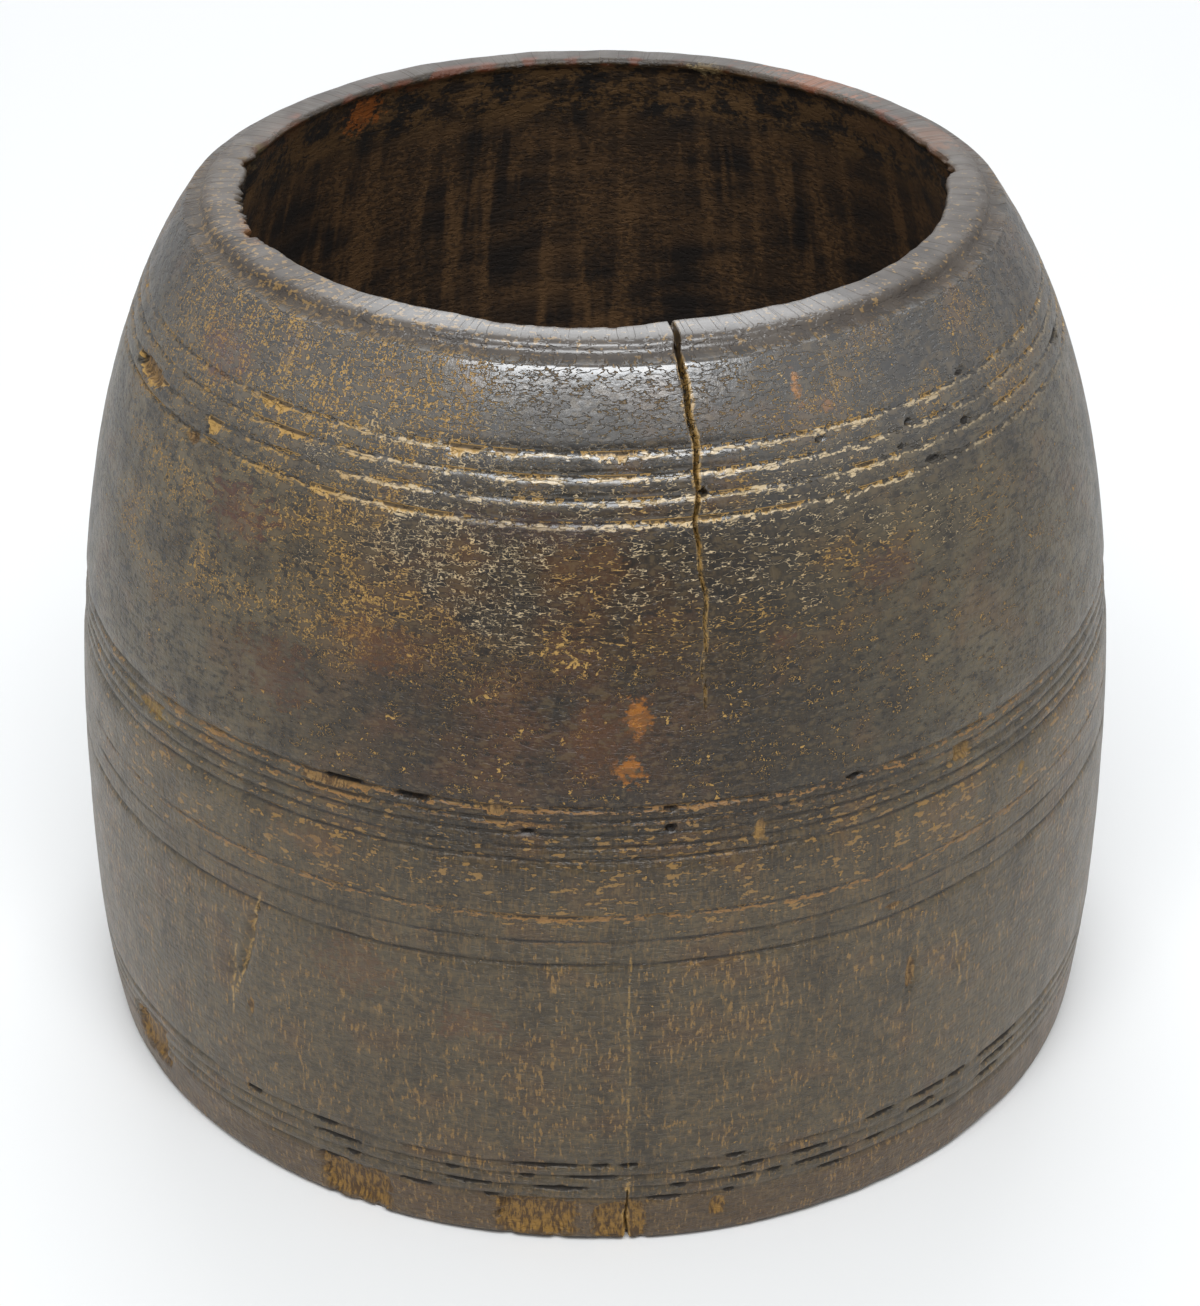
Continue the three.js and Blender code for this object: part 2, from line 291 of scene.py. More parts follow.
def build_sheet(name):
    corner_angle, corner_row, ring = [], [], []
    for k, row in enumerate(rows):
        start = len(corner_angle)
        if row[0] == 0:
            ring.append(({0: start}, None))
            corner_angle.append(0.0)
            corner_row.append(k)
            continue
        found, step = row_points(k, start)
        ring.append((found, step))
        corner_angle += [float(angles[c]) for c in found]
        corner_row += [k] * len(found)
    faces = []
    for (low, low_step), (high, high_step) in zip(ring, ring[1:]):
        wide = max(low_step or 0, high_step or 0)
        for c in range(0, COLUMNS, wide):
            below = [low[0]] if low_step is None else side_points(low, low_step, c, wide)
            above = [high[0]] if high_step is None else side_points(high, high_step, c, wide)
            faces.append(below + above[::-1])
    sheet = bpy.data.meshes.new(name)
    flat = [(a / 360, k / len(rows), 0) for a, k in zip(corner_angle, corner_row)]
    sheet.from_pydata(flat, [], faces)
    numbers = {"angle": corner_angle}
    for label, column in {"radius": 0, "height": 1, "wall": 3, "lip": 4, "mouth": 5, "hollow": 6}.items():
        numbers[label] = [rows[k][column] for k in corner_row]
    for label, values in numbers.items():
        layer = sheet.attributes.new(label, "FLOAT", "POINT")
        layer.data.foreach_set("value", np.array(values, np.float32))
    return sheet


def side_points(points, step, first, wide):
    """A row's points from one coarse column to the next, both ends included."""
    return [points[c % COLUMNS] for c in range(first, first + wide + 1, step)]


sheet = build_sheet("grain measure")
triangles = sum(len(face.vertices) - 2 for face in sheet.polygons)
print("points", len(sheet.vertices), "triangles", triangles)

# %% [markdown]
# ## Writing sums as node trees
#
# A node tree is a sum drawn as boxes. Long sums are easier to read as text, so a small class stands for the
# output of a node and takes part in sums: adding two of them adds a Math node. The same Math nodes exist in
# Geometry Nodes and in shaders, so one written rule can shape the mesh and also colour it.


# %% Wires
class Wire:
    """An output of a node that takes part in sums like a number."""

    def __init__(self, tree, socket):
        self.tree = tree
        self.socket = socket

    def calc(self, operation, *others):
        return calculate(self.tree, operation, self, *others)

    def __add__(self, other):
        return self.calc("ADD", other)

    def __radd__(self, other):
        return self.calc("ADD", other)

    def __sub__(self, other):
        return self.calc("SUBTRACT", other)

    def __rsub__(self, other):
        return calculate(self.tree, "SUBTRACT", other, self)

    def __mul__(self, other):
        return self.calc("MULTIPLY", other)

    def __rmul__(self, other):
        return self.calc("MULTIPLY", other)

    def __truediv__(self, other):
        return self.calc("DIVIDE", other)

    def __rtruediv__(self, other):
        return calculate(self.tree, "DIVIDE", other, self)

    def __pow__(self, other):
        return self.calc("POWER", other)

    def most(self, other):
        return self.calc("MAXIMUM", other)

    def least(self, other):
        return self.calc("MINIMUM", other)

    def size(self):
        return self.calc("ABSOLUTE")

    def between(self, low, high):
        return self.most(low).least(high)


def feed(socket, value):
    """Joins a wire to an input, or writes a plain value in it."""
    if isinstance(value, Wire):
        value.tree.links.new(value.socket, socket)
    else:
        socket.default_value = value


def add_node(tree, kind, inputs=None, **settings):
    node = tree.nodes.new(kind)
    for name, value in settings.items():
        setattr(node, name, value)
    for key, value in (inputs or {}).items():
        feed(node.inputs[key], value)
    return node


def calculate(tree, operation, *values):
    node = add_node(tree, "ShaderNodeMath", dict(enumerate(values)), operation=operation)
    return Wire(tree, node.outputs[0])


def ease(value, start, stop):
    """A soft step: 0 at start, 1 at stop, and the other way round where start is above stop."""
    node = add_node(
        value.tree,
        "ShaderNodeMapRange",
        {"Value": value, "From Min": start, "From Max": stop},
        interpolation_type="SMOOTHSTEP",
    )
    return Wire(value.tree, node.outputs[0])


def point_at(tree, x, y, z):
    node = add_node(tree, "ShaderNodeCombineXYZ", {0: x, 1: y, 2: z})
    return Wire(tree, node.outputs[0])


def noise(place, wide, tall, detail=2.0, roughness=0.5, seed=0.0):
    """Cloudy numbers about 0.5; a cloud is so wide and so tall, in millimetres."""
    tree = place.tree
    scale = (1 / wide, 1 / wide, 1 / tall)
    shift = (seed, seed * 1.7, seed * 2.3)
    if tree.bl_idname == "ShaderNodeTree":
        scaled = add_node(tree, "ShaderNodeMapping", {"Vector": place, "Location": shift, "Scale": scale})
    else:
        inputs = {0: place, 1: scale, 2: shift}
        scaled = add_node(tree, "ShaderNodeVectorMath", inputs, operation="MULTIPLY_ADD")
    cloud = {"Vector": Wire(tree, scaled.outputs[0]), "Scale": 1.0, "Detail": detail, "Roughness": roughness}
    return Wire(tree, add_node(tree, "ShaderNodeTexNoise", cloud).outputs[0])


print("wires ready")

# %% [markdown]
# ## Lines that have crumbled
#
# On the real wall the wood under each line has broken out in small pointed chips that hang from the line
# like drips. The rule: for each place below a line, a ragged number that changes only along the line says
# how far down the chip reaches. Where the place is above that depth, wood is missing.


# %% Rules for lines and their crumbs
def nearest_line(height, band):
    """Distance from a height to the nearest line of a band, and the number of that line."""
    number = ((band["top"] - height) / band["pitch"]).calc("ROUND").between(0, band["lines"] - 1)
    away = (height - (band["top"] - number * band["pitch"])).size()
    return away, number


def line_cut(height, band, width=LINE_WIDTH):
    """1 at the point of a cut, 0 at its edges and beyond."""
    away, _ = nearest_line(height, band)
    return (1 - away / (width / 2)).most(0)


def parts(vector):
    node = add_node(vector.tree, "ShaderNodeSeparateXYZ", {0: vector})
    return [Wire(vector.tree, output) for output in node.outputs]


def band_rule(height, key):
    """A number of the band that a height belongs to: the upper, the middle or the roll."""
    upper = height.calc("GREATER_THAN", 100)
    lower = height.calc("LESS_THAN", 69)
    middle = MIDDLE_BAND[key]
    return upper * (UPPER_BAND[key] - middle) + lower * (ROLL_BAND[key] - middle) + middle


def find_line(height):
    """The height of the line that a place lies under, and how far below it the place is."""
    top, pitch, last = (band_rule(height, key) for key in ("top", "pitch", "lines"))
    number = ((top - height) / pitch + 0.1).calc("FLOOR").most(0).least(last - 1)
    line = top - number * pitch
    return line, line - height


def line_wear(line):
    """How much a line has worn: all the upper ones, then less from line to line in each lower band."""
    top, pitch = band_rule(line, "top"), band_rule(line, "pitch")
    return (1 - (top - line) / pitch * band_rule(line, "fade")).most(0.15)


def crumbs(place, height, patch, hang):
    """How far a place lies inside a chip under its line, in millimetres, and how far below that line."""
    line, below = find_line(height)
    x, y, _ = parts(place)
    ragged = noise(point_at(height.tree, x, y, line * 7.3 + below * 0.6), 1.35, 1.0, 2, 0.65, 11) - 0.5
    wear = (line_wear(line) - 1) * 1.6
    reach = (ragged * 4.6 + (patch - 0.5) * 4.0 - 0.35 + wear + hang) * band_rule(height, "reach")
    return (reach - below).least((below + 0.3) * 2.5), below


print("rules for lines are ready")

# %% [markdown]
# ## Numbers for every point
#
# Some facts about a point depend only on its angle and its height: which knock or stain is nearest, how far
# the next split is, whether it lies in a certain field of the wall. They are worked out here for all points
# at once and written on the sheet. The node tree and the shader then read them by name.


# %% Soft steps and windows
def soft(value, start, stop):
    """A soft step: 0 at start, 1 at stop, and the other way round where start is above stop."""
    share = np.clip((value - start) / (stop - start), 0, 1)
    return share * share * (3 - 2 * share)


def window(first, last, bottom, top, soft_angle=6.0, soft_height=4.0):
    """1 between two angles and two heights, with soft edges."""
    after_first = soft(ANGLE, first - soft_angle, first + soft_angle)
    before_last = soft(ANGLE, last + soft_angle, last - soft_angle)
    over_bottom = soft(LEVEL, bottom - soft_height, bottom + soft_height)
    under_top = soft(LEVEL, top + soft_height, top - soft_height)
    return after_first * before_last * over_bottom * under_top


def write_number(name, values):
    layer = sheet.attributes.new(name, "FLOAT", "POINT")
    layer.data.foreach_set("value", np.asarray(values, np.float32))


def read_sheet(name):
    values = np.zeros(len(sheet.vertices), np.float32)
    sheet.attributes[name].data.foreach_get("value", values)
    return values.astype(float)


ANGLE, LEVEL = read_sheet("angle"), read_sheet("height")
print("points in the front half:", int((np.abs(ANGLE) < 90).sum()))

# %% [markdown]
# ## Chips, splits and hairlines
#
# Here and there the crumbs run together into one larger chip. Wood also dries faster round the outside than
# along the grain, so it splits up and down. Each split is a path (an angle that wanders with the height), a
# width that changes along it and a depth. Some cracks never opened: those hairlines show only as a thin light
# line along the grain, where dust and wax have filled them.

# %% Chips
CHIPS = [
    # angle, height of the line, half width in degrees, how much longer
    (-65.5, 126.9, 6.5, 2.4),
    (-48.4, 126.9, 1.4, 3.4),
    (-40.2, 132.9, 2.9, 1.6),
    (-36.3, 129.9, 2.4, 1.6),
    (-31.0, 123.9, 2.0, 1.2),
    (-19.5, 123.9, 4.6, 1.5),
    (-14.5, 132.9, 2.2, 1.9),
    (-10.0, 132.9, 1.8, 1.6),
    (1.6, 132.9, 3.4, 1.2),
    (10.0, 123.9, 5.2, 1.3),
    (20.6, 123.9, 4.6, 1.1),
    (31.2, 126.9, 1.4, 1.4),
    (-26.0, 82.0, 5.0, 2.6),
    (-18.0, 82.0, 2.6, 1.6),
    (-9.7, 82.0, 1.4, 2.8),
    (-53.0, 79.9, 3.0, 2.4),
    (-6.0, 64.3, 7.0, 0.9),
    (6.5, 64.3, 2.0, 0.7),
]
hang = np.zeros(len(ANGLE))
for middle, line, half, more in CHIPS:
    beside = soft(np.abs(ANGLE - middle), half, half * 0.6)
    hang += beside * soft(np.abs(line - 1.2 - LEVEL), 2.2, 1.4) * more
write_number("hang", hang)
print("chips:", len(CHIPS))

# %% Splits of the wall
SPLITS = {
    "main": {
        "angle": CRACK_ANGLE, "lean": 0.0, "wander": 0.75, "bottom": 97.0, "top": 148.0,
        "width": 1.1, "depth": 2.6, "opens": 1, "edge": 0.42, "dark_from": 132.0,
    },
    "foot": {
        "angle": FOOT_CRACK_ANGLE, "lean": 0.0, "wander": 0.3, "bottom": -2.0, "top": 12.0,
        "width": 1.0, "depth": 2.6, "opens": -1, "edge": 0.35, "dark_from": -10.0,
    },
    "gash": {
        "angle": GASH_ANGLE, "lean": 0.19, "wander": 0.4, "bottom": 35.5, "top": 55.5,
        "width": 2.0, "depth": 1.0, "opens": 0, "edge": 0.5, "dark_from": 200.0,
    },
    "gash branch": {
        "angle": GASH_ANGLE - 2.2, "lean": 0.1, "wander": 0.6, "bottom": 31.0, "top": 44.0,
        "width": 1.2, "depth": 0.5, "opens": 0, "edge": 0.3, "dark_from": 200.0,
    },
    "scratch": {
        "angle": 39.6, "lean": -0.1, "wander": 0.2, "bottom": 36.0, "top": 46.5,
        "width": 0.8, "depth": 0.5, "opens": 0, "edge": 0.25, "dark_from": 200.0,
    },
}
HAIRLINES = {
    "hair low": {
        "angle": FOOT_CRACK_ANGLE, "lean": 0.0, "wander": 0.4, "bottom": 10.0, "top": 57.0, "half": 0.24,
    },
    "hair left": {
        "angle": -39.5, "lean": 0.0, "wander": 0.9, "bottom": 133.0, "top": 150.0, "half": 0.42,
    },
    "hair right": {
        "angle": 29.6, "lean": 0.0, "wander": 0.7, "bottom": 136.0, "top": 150.0, "half": 0.3,
    },
}


def distance_from(split):
    """Distance across from a split's path, in millimetres."""
    start = split["angle"]
    middle = (split["bottom"] + split["top"]) / 2
    sway = (np.sin(LEVEL * 0.31 + start) * 0.5 + np.sin(LEVEL * 0.93 + start * 2) * 0.25) * split["wander"]
    turned = np.radians(ANGLE - start - (LEVEL - middle) * split["lean"]) * wall_radius(LEVEL)
    return np.clip(turned - sway, -20, 20)


for name, split in (SPLITS | HAIRLINES).items():
    write_number(name, distance_from(split))


def split_share(away, height, split):
    """1 on the path of a split and 0 at its edges and past its ends."""
    along = (height - split["bottom"]) / (split["top"] - split["bottom"])
    if split["opens"] > 0:
        opening = along.between(0, 1) ** 0.8
    elif split["opens"] < 0:
        opening = (1 - along).between(0, 1) ** 0.7
    else:
        opening = (along.between(0, 1) * math.pi).calc("SINE")
    half = opening * (split["width"] / 2)
    return (1 - away / half.most(0.02)).most(0) * ease(opening, 0.0, 0.04)


print("splits:", ", ".join(SPLITS), "and hairlines:", len(HAIRLINES))

# %% [markdown]
# ## Knocks
#
# Slots, chips and lost splinters sit at places of their own. Each has an angle, a height, a length along the
# wall, a rise, a depth and a squareness: 2 gives an oval, 6 a slab with straight sides, as where a splinter
# left the foot along the grain. Fresh wood shows in some (pale); the others are painted near black, as shade
# in the hole (dark). For each point, the share says how far inside a knock it is: 1 in the middle, 0 at the
# edge, and less outside.

# %% The knocks
PALE, DARK = 1, 0
KNOCKS = [
    # angle, height, length, rise, depth, squareness, kind
    (-65.5, 126.4, 13.0, 2.8, 1.1, 2.5, PALE),
    (-69.5, 126.2, 2.2, 2.0, 1.6, 2.5, DARK),
    (-51.6, 122.9, 4.0, 1.9, 0.8, 2.0, PALE),
    (11.8, 127.0, 1.4, 1.3, 2.0, 2.0, DARK),
    (26.0, 131.6, 2.0, 0.9, 0.8, 2.0, DARK),
    (38.2, 130.4, 2.2, 1.2, 1.0, 2.0, DARK),
    (36.5, 127.6, 1.8, 0.9, 0.8, 2.0, DARK),
    (47.0, 127.4, 2.4, 1.2, 1.0, 2.0, DARK),
    (40.5, 124.6, 4.0, 1.0, 0.9, 2.0, DARK),
    (48.6, 133.6, 2.4, 0.9, 0.8, 2.0, DARK),
    (75.0, 126.7, 7.0, 1.6, 1.0, 2.0, DARK),
    (-25.3, 82.0, 7.2, 1.2, 1.4, 3.0, DARK),
    (-18.0, 81.7, 5.8, 1.1, 1.4, 3.0, DARK),
    (7.3, 81.5, 2.6, 1.0, 1.1, 2.0, DARK),
    (26.3, 81.9, 2.6, 1.0, 1.1, 2.0, DARK),
    (7.4, 78.5, 1.8, 1.6, 1.3, 2.0, DARK),
    (-6.5, 78.3, 2.6, 0.9, 1.0, 2.0, DARK),
    (39.8, 78.8, 3.6, 3.0, 0.9, 4.0, PALE),
    (-27.6, 81.0, 9.0, 1.7, 0.5, 2.0, PALE),
    (-9.6, 81.5, 2.4, 1.7, 0.4, 2.0, PALE),
    (-53.0, 78.8, 7.0, 2.2, 0.5, 2.0, PALE),
    (16.2, 76.5, 1.6, 4.0, 0.4, 2.0, PALE),
    (49.0, 69.4, 2.6, 2.4, 0.5, 2.0, PALE),
    (30.6, 57.6, 3.0, 1.3, 0.4, 2.0, PALE),
    (33.2, 43.6, 1.7, 5.8, 0.9, 4.0, PALE),
    (-37.2, 34.6, 1.2, 4.0, 0.5, 2.0, PALE),
    (-25.6, 5.4, 13.0, 9.2, 1.2, 8.0, PALE),
    (-6.0, 5.4, 13.0, 9.2, 1.1, 8.0, PALE),
    (2.4, 5.2, 8.5, 9.0, 0.9, 8.0, PALE),
    (-57.7, 9.6, 12.0, 9.6, 1.2, 6.0, PALE),
    (12.6, 6.6, 2.8, 4.6, 0.5, 3.0, PALE),
]
# For each line of the foot band, from the top one down, the angles of dashes painted near black as shade.
FOOT_DASHES = [
    [
        (-38.5, -37), (-30, -27), (-8, -1.5), (0, 1), (2.7, 4),
        (13.5, 15), (29, 32), (35, 39), (40, 42), (45, 51),
    ],
    [
        (-30, -24.5), (-15, -14), (-7.5, -6.3), (-2.8, 2), (9, 12.5),
        (15, 17), (20.5, 24), (34, 38), (45, 51),
    ],
    [
        (-26, -25), (-15, -10.5), (-6.2, -1), (8, 9), (14.5, 16),
        (18, 19), (20.5, 27), (29.5, 31), (38, 39.5), (45, 48),
    ],
    [(-29.5, -26), (-20, -17), (-11, -10), (5.8, 8.5), (13.5, 14), (24, 26)],
]
DASH_RADIUS = 89.5
for height, spans in zip(line_heights(FOOT_BAND), FOOT_DASHES):
    for first, last in spans:
        length = math.radians(last - first) * DASH_RADIUS + 1.0
        KNOCKS.append(((first + last) / 2, height, length, 1.25, 0.75, 2.5, DARK))

shares = {PALE: np.full(len(ANGLE), -1.0), DARK: np.full(len(ANGLE), -1.0)}
nearest_knock, knock_deep = np.full(len(ANGLE), -1.0), np.zeros(len(ANGLE))
for middle, level, length, rise, depth, squareness, kind in KNOCKS:
    across = np.minimum(np.abs(ANGLE - middle) * math.radians(85) * 2 / length, 4)
    up = np.minimum(np.abs(LEVEL - level) * 2 / rise, 4)
    share = 1 - (across**squareness + up**squareness) ** (1 / squareness)
    shares[kind] = np.maximum(shares[kind], share)
    knock_deep[share > nearest_knock] = depth
    nearest_knock = np.maximum(nearest_knock, share)
write_number("pale", shares[PALE])
write_number("dark", shares[DARK])
write_number("knock", nearest_knock)
write_number("deep", knock_deep)
print("knocks:", len(KNOCKS))

# %% [markdown]
# ## The mouth
#
# The inner edge of the lip is bitten: pieces have broken away on the left and the right, where hands and
# scoops struck it. Each bite is an angle, a width in degrees and the depth that its radius goes back. The
# bites on the left are jagged, so a finer noise will break them up.

# %% Bites in the lip
BITES = [
    # angle, half width in degrees, how far back, how far down, jagged share
    (-66.0, 8.0, 2.6, 0.5, 0.7),
    (-80.0, 9.0, 1.2, 0.3, 1.0),
    (-99.0, 7.0, 1.6, 0.4, 0.8),
    (-5.0, 16.0, 1.6, 0.2, 0.0),
    (95.0, 6.5, 2.4, 0.5, 0.5),
    (103.0, 5.0, 1.0, 0.3, 0.8),
    (160.0, 10.0, 0.8, 0.1, 0.2),
]
whole_bite, jagged_bite, bite_drop = (np.zeros(len(ANGLE)) for _ in range(3))
for middle, half, back, down, jagged in BITES:
    there = soft(np.abs(ANGLE - middle), half, half * 0.45)
    whole_bite += there * back * (1 - jagged)
    jagged_bite += there * back * jagged
    bite_drop += there * down
write_number("whole bite", whole_bite)
write_number("jagged bite", jagged_bite)
write_number("bite drop", bite_drop)
print("bites:", len(BITES))

# %% [markdown]
# ## Colours, stains and fields
#
# The finish is a build-up: brown heartwood, darkened by oil and smoke, rubbed to a satin on the shoulder,
# with light ochre wood showing wherever the skin is broken. In paint it would be glazes over one another. In
# a node tree each glaze is a mix of two colours with a mask, so the masks are what matters. Colours are
# written as they look, from 0 to 255, and changed to the linear values that light is reckoned in. Rust
# stains and fields where flecks gather have fixed places, so they are written on the sheet too.


# %% Colours
def tone(red, green, blue):
    """A colour as seen, 0 to 255, as the linear colour of a node."""
    seen = (red / 255, green / 255, blue / 255)
    linear = [v / 12.92 if v < 0.0404 else ((v + 0.055) / 1.055) ** 2.4 for v in seen]
    return (*linear, 1.0)


def glaze(share, under, over):
    """One colour laid over another where the share is 1."""
    node = add_node(share.tree, "ShaderNodeMix", {0: share, 6: under, 7: over}, data_type="RGBA")
    return Wire(share.tree, node.outputs[2])


OCHRE = tone(176, 138, 74)
CREAM = tone(206, 182, 142)
ORANGE = tone(162, 98, 20)
# The near black of painted shade in the cuts, chips, splits, holes and the lip's crease.
RED_BROWN = tone(96, 52, 34)
PAINTED_SHADE = tone(18, 12, 8)
DARK_BROWN = tone(47, 34, 18)
RUST_BROWN = tone(64, 36, 13)
COOL_DARK = tone(40, 34, 24)
SIDE_SHEEN_OLIVE = tone(88, 79, 60)
WARM_GREY = tone(84, 73, 54)
FOOT_BROWN = tone(80, 57, 29)
BACK_BROWN = tone(58, 44, 28)
print("ochre in linear light:", [round(v, 3) for v in OCHRE])

# %% Stains
STAINS = [
    # angle, height, half width in degrees, half height in millimetres, colour, share, part
    (0.5, 93.5, 4.0, 6.5, tone(92, 54, 20), 0.5, "wall"),
    (4.0, 96.2, 1.7, 3.4, ORANGE, 0.75, "wall"),
    (3.4, 88.6, 1.9, 2.4, ORANGE, 0.75, "wall"),
    (24.4, 138.6, 1.0, 2.6, tone(170, 110, 40), 0.8, "wall"),
    (27.5, 135.4, 1.2, 1.2, tone(134, 88, 38), 0.7, "wall"),
    (19.4, 105.6, 2.6, 1.3, tone(88, 44, 30), 0.6, "wall"),
    (-41.0, 116.0, 6.0, 5.0, RED_BROWN, 0.45, "wall"),
    (-50.0, 136.0, 6.0, 4.0, RED_BROWN, 0.45, "wall"),
    (-34.0, 96.0, 5.0, 7.0, tone(88, 54, 30), 0.5, "wall"),
    (-22.0, 104.0, 5.0, 4.0, tone(98, 58, 24), 0.5, "wall"),
    (-8.0, 124.0, 8.0, 3.0, tone(60, 34, 26), 0.5, "wall"),
    (32.0, 112.0, 5.0, 3.0, tone(74, 48, 38), 0.5, "wall"),
    (-24.0, 50.0, 5.0, 5.0, tone(96, 66, 40), 0.5, "wall"),
    (-12.0, 44.0, 4.0, 4.0, tone(100, 66, 40), 0.4, "wall"),
    (-30.0, 70.0, 5.0, 2.0, tone(100, 70, 40), 0.5, "wall"),
    (-53.0, 78.8, 4.0, 1.5, tone(132, 106, 46), 0.8, "wall"),
    (49.0, 69.4, 1.2, 1.8, tone(128, 102, 46), 0.8, "wall"),
    (16.2, 76.3, 1.0, 2.6, tone(140, 106, 50), 0.7, "wall"),
    (39.8, 78.8, 1.8, 2.0, tone(116, 92, 46), 0.6, "wall"),
    (-135.5, 141.4, 4.4, 4.2, tone(172, 96, 34), 0.95, "hollow"),
    (-146.0, 144.0, 3.0, 1.4, tone(110, 60, 28), 0.7, "hollow"),
    (86.0, 140.0, 4.0, 4.0, tone(140, 82, 36), 0.8, "hollow"),
    (98.0, 140.0, 5.0, 4.0, tone(128, 90, 48), 0.7, "hollow"),
    (120.0, 141.0, 12.0, 2.4, tone(96, 66, 38), 0.6, "hollow"),
    (160.0, 144.6, 4.0, 1.2, tone(168, 146, 104), 0.8, "mouth"),
    (138.0, 145.4, 13.0, 4.0, tone(140, 84, 48), 0.7, "lip"),
    (108.0, 145.4, 8.0, 4.0, tone(112, 72, 42), 0.6, "lip"),
    (-112.0, 145.4, 8.0, 4.0, tone(104, 66, 38), 0.6, "mouth"),
    (-66.0, 145.0, 7.0, 4.0, tone(122, 78, 36), 0.8, "mouth"),
    (-104.0, 144.0, 1.6, 3.0, tone(134, 126, 92), 0.9, "mouth"),
]
stain_near, stain_share = np.full(len(ANGLE), -4.0), np.zeros(len(ANGLE))
stain_colour = np.ones((len(ANGLE), 4))
for angle, height, half_angle, half_height, colour, share, part in STAINS:
    turn = np.abs(ANGLE - angle)
    across = np.minimum(turn, 360 - turn) / half_angle
    near = 1 - np.hypot(across, (LEVEL - height) / half_height)
    closer = near > stain_near
    stain_colour[closer] = colour
    stain_share[closer] = share * read_sheet(part)[closer]
    stain_near = np.maximum(stain_near, near)
write_number("stain near", stain_near)
write_number("stain share", stain_share)
sheet.attributes.new("stain", "FLOAT_COLOR", "POINT").data.foreach_set("color", stain_colour.ravel())
print("stains:", len(STAINS))

# %% Fields
FIELDS = {
    "rust": window(-34, 8, 84, 121, 12, 8),
    "cool": window(14, 60, 84, 124, 10, 8),
    "pale flecks and painted highlight": window(-30, 44, 110, 134, 20, 14),
    "centre": window(-32, 30, 104, 146, 14, 6) * 0.6,
    "under": window(-34, 52, 111, 121, 8, 3),
    "shoulder": window(-66, -10, 128, 149, 9, 4),
    "left": window(-66, -6, 100, 130, 9, 7),
    "right": window(24, 66, 126, 144, 9, 6) * 0.6,
    "middle": window(-34, 14, 84, 112) * 0.4 + 0.5,
    "curled": window(-40, 68, 82, 110, 8, 5),
}
for name, values in FIELDS.items():
    write_number(name, values)
print("fields:", ", ".join(FIELDS))

# %% [markdown]
# ## The broad colour, and where flecks gather
#
# The skin is not one brown. It is rust brown in the middle of the front, cool and dark to the right of the
# split, and olive grey below, where dust has been oiled in. Towards the sides a lighter olive grey is painted
# in as the sheen of grazing light. Fields of the wall place these, and clouds break up their edges. Where the
# dark skin has cracked, light wood shows as flecks. On the left of the shoulder they are a net of grains;
# under the upper band they are lying strokes; between the bands they are dots and curls; near the foot they
# follow the grain upright. On the front of the upper wall they are painted cream, partly as highlight.
# Nothing here is smaller than a few millimetres, so it is worked out once for each point of the mesh, and the
# shader only adds what is finer.

# %% Places of a tree
# Name: width and height of a cloud in millimetres, and seed.
CLOUDS = {"broad": (24, 30, 1), "middling": (10, 8, 2), "small": (4.5, 3.8, 31)}


class Place:
    """What a tree knows about a place on the vessel, read by name."""

    def __init__(self, tree):
        self.tree = tree
        self.known = {}

    def __getitem__(self, name):
        if name not in self.known:
            self.known[name] = self.read(name)
        return self.known[name]

    def read(self, name):
        if self.tree.bl_idname == "ShaderNodeTree":
            node = add_node(self.tree, "ShaderNodeAttribute", attribute_name=name)
            return Wire(self.tree, node.outputs["Color" if name in ("skin", "stain") else "Fac"])
        node = add_node(self.tree, "GeometryNodeInputNamedAttribute", {"Name": name}, data_type="FLOAT")
        return Wire(self.tree, node.outputs["Attribute"])

    def __getattr__(self, name):
        return self[name]


print("clouds:", ", ".join(CLOUDS))


# %% The skin
def skin_colour(at):
    """The broad colour of the skin, from the front's rust brown to the sides, the foot and the back."""
    colour = glaze(ease(at.broad, 0.38, 0.6), DARK_BROWN, COOL_DARK)
    rust = at.rust * ease(at.broad * 0.4 + at.middling * 0.6, 0.4, 0.56)
    colour = glaze(rust * 0.85, colour, RUST_BROWN)
    colour = glaze(at.cool * 0.7, colour, COOL_DARK)
    # Towards the sides a lighter olive grey is painted in as the sheen of grazing light.
    sides = ease(at.angle.size(), 14, 44) * ease(at.height, 142, 120)
    colour = glaze(sides * (0.5 + at.broad * 0.7), colour, SIDE_SHEEN_OLIVE)
    low = ease(at.height, 84, 56) * 0.9
    colour = glaze(low * (at.broad * 0.5 + 0.6), colour, WARM_GREY)
    colour = glaze(ease(at.angle.size(), 84, 120) * 0.65, colour, BACK_BROWN)
    colour = glaze(ease(at.streaks, 0.48, 0.66) * 0.4, colour, tone(34, 25, 15))
    colour = glaze(ease(at.height, 11, 8) * 0.7, colour, FOOT_BROWN)
    upper = ease(at.height, 60, 90)
    colour = glaze(ease(at.middling, 0.5, 0.36) * (upper * 0.45 + 0.15), colour, tone(36, 28, 19))
    return glaze(ease(at.middling, 0.52, 0.66) * 0.4, colour, tone(84, 56, 30))


# %% Gathering places
def gathering(at):
    """How densely each family of flecks gathers, 0 to 1."""
    patch = ease(at.middling, 0.38, 0.6)
    small_patch = ease(at.small, 0.4, 0.6)
    around = ease(at.angle.size(), 84, 66) * 0.5 + 0.5
    behind = ease(at.angle.size(), 70, 95) * ease(at.height, 80, 92) * patch * 0.5
    grains = (at.shoulder * (small_patch * 0.4 + 0.6)).most(at.left * (patch * 0.6 + 0.2))
    grains = grains.most(at.right * patch).most(behind)
    return {
        "strokes_there": at.centre.most(at.under * (patch * 0.5 + 0.35)),
        "grains_there": grains,
        "dots_there": patch * small_patch * ease(at.height, 50, 70) * at.middle,
        "curls_there": at.curled * small_patch * 0.9,
        "dashes_there": ease(at.height, 56, 64) * ease(at.height, 86, 82) * (patch * 0.4 + 0.6) * around,
        "upright_there": ease(at.height, 66, 54) * (patch * 0.35 + 0.55) * around,
    }


print("skin and gathering places are described")

